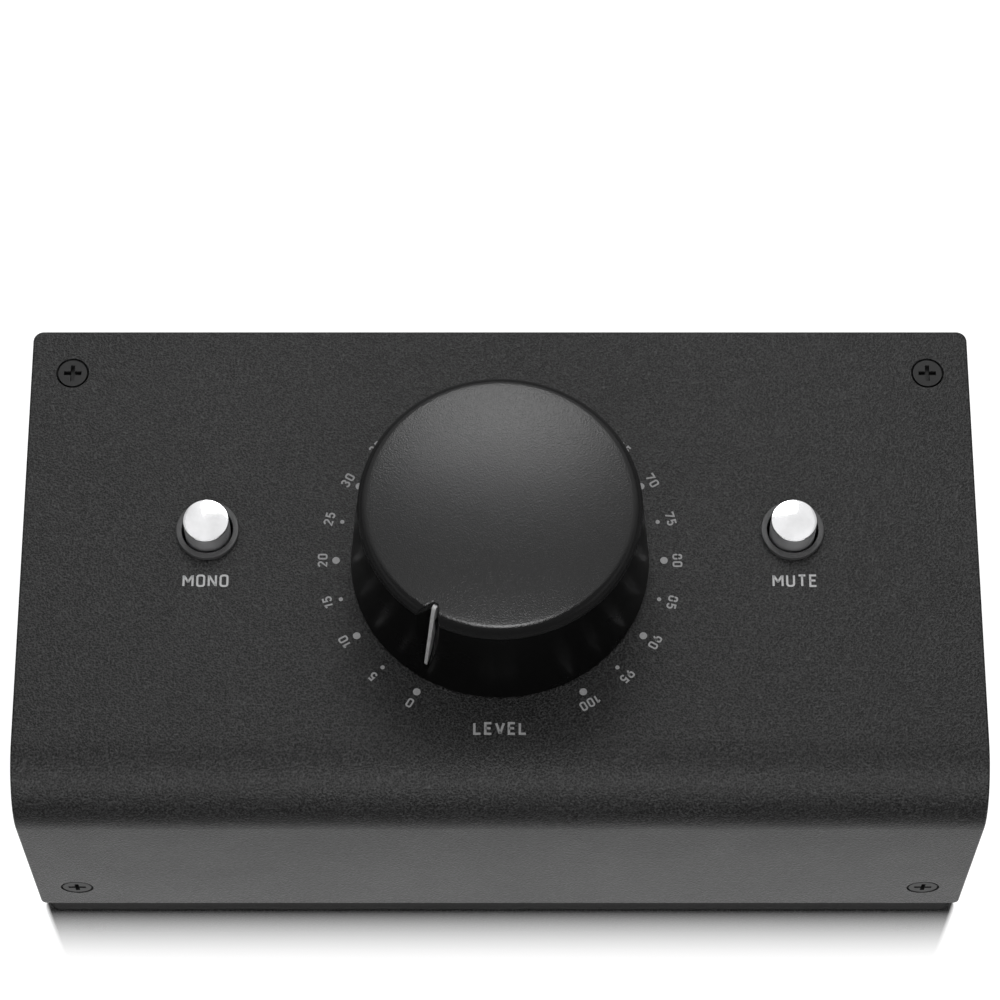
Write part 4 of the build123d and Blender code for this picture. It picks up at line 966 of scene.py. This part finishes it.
def polished_metal():
    """Button cap: bright and polished on top, satin down its side."""
    look = (0.86, 0.86, 0.87), 0.003, 0.000012, 0.06, 0.08, 0.03
    material = dress("polished_cap", *look, Metallic=1.0)
    tree = material.node_tree
    shader = tree.nodes["Principled BSDF"]
    gloss = shader.inputs["Roughness"].links[0].from_socket
    here = add(tree, "TexCoord").outputs["Object"]
    place = add(tree, "SeparateXYZ", {"Vector": here})
    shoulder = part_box("mono_button_cap")[1].z - 0.0002
    side = ramp(tree, place.outputs["Z"], shoulder, shoulder - 0.0001, 0.0, 0.45)
    feed(tree, shader.inputs, {"Roughness": maths(tree, "ADD", gloss, side)})
    return material


def satin_ring():
    """Dark satin ring round a button."""
    return dress("bezel_satin", (0.05, 0.05, 0.051), 0.0005, 0.000003, 0.34, 0.42)


def ink_paint(name, colour):
    """Grey ink, slightly uneven over the grain below it."""
    return dress(name, colour, 0.0003, 0.00002, 0.5, 0.65)


def metal(name, colour, low, high):
    """Bare metal part."""
    return dress(name, colour, 0.001, 0.000006, low, high, 0.08, Metallic=1.0)


def plastic(name, colour, low, high):
    """Moulded plastic part."""
    return dress(name, colour, 0.0006, 0.00001, low, high)


def finishes(coat):
    """Material of each slot of the part."""
    looks = {"powder_coat": powder_coat(coat), "pad_rubber": pad_rubber(coat)}
    for build, kinds in ((dress, PAINTS), (metal, BARE_METALS), (plastic, MOULDED_PLASTICS)):
        looks.update({name: build(name, *values) for name, values in kinds.items()})
    return looks


class CONTROLLER_OT_finish_case(bpy.types.Operator):
    """Give the case, screws, connectors and inner parts their finishes"""

    bl_idname = "controller.finish_case"
    bl_label = "Finish Case"

    def execute(self, context):
        looks = finishes(context.scene.controller_coat)
        for node in frame["nodes"].values():
            for place in node.material_slots:
                look = looks.get(place.material.name)
                if look is not None:
                    place.material = look
        return {"FINISHED"}


# ---- stage ----

def blank_tree(holder):
    """The node tree of a material or world, emptied."""
    holder.use_nodes = True
    holder.node_tree.nodes.clear()
    return holder.node_tree


def mirrored_ray(tree, path):
    """1 for a ray that a mirror or glass has sent on, 0 for any other."""
    return maths(tree, "MAXIMUM", path["Is Glossy Ray"], path["Is Transmission Ray"])


def either(tree, share, first, second):
    """Shader mixed from two others by a share of the second."""
    return add(tree, "MixShader", {0: share, 1: first, 2: second}).outputs[0]


def floor_material(stage):
    """White floor: mirrors the case close to it, keeps its shadow, and shows white to the camera."""
    material = bpy.data.materials.new("stage_floor")
    tree = blank_tree(material)
    here = add(tree, "TexCoord").outputs["Object"]
    apart = add(tree, "SeparateXYZ", {"Vector": here}).outputs
    gaps = []
    for axis, half in enumerate(PAD_HALF):
        away = maths(tree, "ABSOLUTE", apart[axis])
        gaps.append(maths(tree, "SUBTRACT", away, half))
    gap = maths(tree, "MAXIMUM", *gaps)
    fade = ramp(tree, gap, MIRROR_START, stage.mirror_reach, 1.0, 0.0)
    curve = maths(tree, "POWER", fade, MIRROR_FALL)
    aside = maths(tree, "MULTIPLY_ADD", gap, MIRROR_SLANT, gaps[0])
    beside = ramp(tree, aside, -MIRROR_BLUR, MIRROR_BLUR, 1.0, 0.0)
    share = maths(tree, "MULTIPLY", curve, beside)
    paint = add(tree, "BsdfDiffuse", {"Color": (0.80, 0.80, 0.80, 1.0)}).outputs[0]
    white = add(tree, "Emission", {"Color": WHITE, "Strength": 1.0}).outputs[0]
    shade = add(tree, "BsdfDiffuse", {"Color": (0.30, 0.30, 0.30, 1.0)}).outputs[0]
    glow = add(tree, "Emission", {"Color": WHITE, "Strength": 0.92}).outputs[0]
    pale = add(tree, "AddShader", {0: shade, 1: glow}).outputs[0]
    polish = {"Color": (0.95, 0.95, 0.95, 1.0), "Roughness": 0.02}
    mirror = add(tree, "BsdfGlossy", polish).outputs[0]
    path = add(tree, "LightPath").outputs
    seen = either(tree, share, pale, mirror)
    mirrored = either(tree, mirrored_ray(tree, path), paint, white)
    whole = either(tree, path["Is Camera Ray"], mirrored, seen)
    add(tree, "OutputMaterial", {"Surface": whole})
    return material


def build_floor(stage):
    """Square floor under the part."""
    half = stage.floor_size / 2
    corners = [(-half, -half, 0), (half, -half, 0), (half, half, 0), (-half, half, 0)]
    mesh = bpy.data.meshes.new("stage_floor")
    mesh.from_pydata(corners, [], [(0, 1, 2, 3)])
    mesh.materials.append(floor_material(stage))
    floor = put("stage_floor", mesh)


def build_tent():
    """Dark tent that only reflections see: rounded oblong rings, from a low wall close round the part
    to a lid; its inside glows faintly, less above the wall."""
    rings = []
    for wide, deep, corner, height in STAGE_TENT:
        plan = np.array([(wide, deep), (-wide, deep), (-wide, -deep), (wide, -deep)])
        plan = rounded_path(plan, corner, 24, closed=True)
        rings.append(np.c_[plan, np.full(len(plan), height)])
    tent = build_piece("stage_tent", [np.stack(rings)])
    black = (0.0, 0.0, 0.0, 1.0)
    material, tree, shader, here = principled("stage_tent", Base_Color=black, Specular_IOR_Level=0.0)
    place = add(tree, "SeparateXYZ", {"Vector": here})
    glow = ramp(tree, place.outputs["Z"], *TENT_GLOW)
    feed(tree, shader.inputs, {"Emission Color": glow, "Emission Strength": 1.0})
    tent.data.materials.append(material)
    tent.visible_camera = tent.visible_diffuse = tent.visible_shadow = tent.visible_transmission = False


def build_world():
    """Dim grey room; camera and reflections see it white."""
    world = bpy.data.worlds.new("studio")
    tree = blank_tree(world)
    path = add(tree, "LightPath").outputs
    seen = maths(tree, "MAXIMUM", mirrored_ray(tree, path), path["Is Camera Ray"])
    room = {"Color": (0.5, 0.5, 0.5, 1.0), "Strength": 0.30}
    dim = add(tree, "Background", room).outputs[0]
    white = add(tree, "Background", {"Color": WHITE, "Strength": 1.0}).outputs[0]
    add(tree, "OutputWorld", {"Surface": either(tree, seen, dim, white)})
    bpy.context.scene.world = world


def lit_set(name, of_knob):
    """Collection of the knob's pieces, or of all the rest, that a lamp is kept to as a flag would."""
    chosen = bpy.data.collections.new(name)
    for piece in bpy.context.scene.objects:
        if piece.type == "MESH" and piece.name.startswith("level_knob") == of_knob:
            chosen.objects.link(piece)
    return chosen


def softbox(name, tilt, heading, distance, width, height, power, receivers):
    """Area lamp aimed at the case: tilt is its angle from straight up, heading its way on the floor."""
    lamp = bpy.data.lights.new(name, "AREA")
    lamp.shape = "RECTANGLE"
    lamp.size, lamp.size_y, lamp.energy = width, height, power
    holder = put(name, lamp)
    tilt, heading = radians(tilt), radians(heading)
    out = distance * sin(tilt)
    holder.location = (out * cos(heading), out * sin(heading), PLATE_TOP + distance * cos(tilt))
    holder.rotation_euler = (tilt, 0, heading + pi / 2)
    holder.visible_camera = False
    holder.light_linking.receiver_collection = receivers


def build_camera(stage):
    """Camera above the front edge, looking down at the plate."""
    lens = bpy.data.cameras.new("view_camera")
    lens.sensor_width = 36.0
    lens.lens = stage.camera_lens
    lens.shift_y = stage.camera_rise
    lens.clip_start = 0.01
    holder = put("view_camera", lens)
    holder.location = stage.camera_place
    holder.rotation_euler = (stage.camera_tilt, 0, 0)
    bpy.context.scene.camera = holder


class CONTROLLER_OT_build_stage(bpy.types.Operator):
    """Set up the floor, the lamps, the world and the camera"""

    bl_idname = "controller.build_stage"
    bl_label = "Build Stage"

    def execute(self, context):
        stage = context.scene.controller_stage
        build_floor(stage)
        build_world()
        build_tent()
        flags = {"near": lit_set("lit_knob", True), "front": lit_set("lit_rest", False)}
        for name, values in SOFTBOXES.items():
            softbox(name + "_softbox", *values, flags.get(name))
        build_camera(stage)
        context.scene.view_settings.view_transform = "Standard"
        return {"FINISHED"}


# ---- panel and registration ----

class CONTROLLER_PT_tools(bpy.types.Panel):
    bl_label = "Level Controller"
    bl_idname = "CONTROLLER_PT_tools"
    bl_space_type = "VIEW_3D"
    bl_region_type = "UI"
    bl_category = "Controller"

    def draw(self, context):
        for step in STEPS:
            self.layout.operator(step.bl_idname)


STEPS = (
    CONTROLLER_OT_finish_case,
    CONTROLLER_OT_build_knob,
    CONTROLLER_OT_build_buttons,
    CONTROLLER_OT_build_springs,
    CONTROLLER_OT_print_plate,
    CONTROLLER_OT_build_stage,
)

SETTINGS = {
    "controller_coat": CoatSettings,
    "controller_knob": KnobSettings,
    "controller_buttons": ButtonSettings,
    "controller_print": PrintSettings,
    "controller_stage": StageSettings,
}


def register():
    for settings in (*SETTINGS.values(), *STEPS, CONTROLLER_PT_tools):
        bpy.utils.register_class(settings)
    for name, settings in SETTINGS.items():
        setattr(bpy.types.Scene, name, PointerProperty(type=settings))


def unregister():
    for name in SETTINGS:
        delattr(bpy.types.Scene, name)
    for settings in (CONTROLLER_PT_tools, *STEPS, *SETTINGS.values()):
        bpy.utils.unregister_class(settings)


def main():
    register()
    for step in STEPS:
        family, action = step.bl_idname.split(".")
        getattr(getattr(bpy.ops, family), action)()


if __name__ == "__main__":
    main()
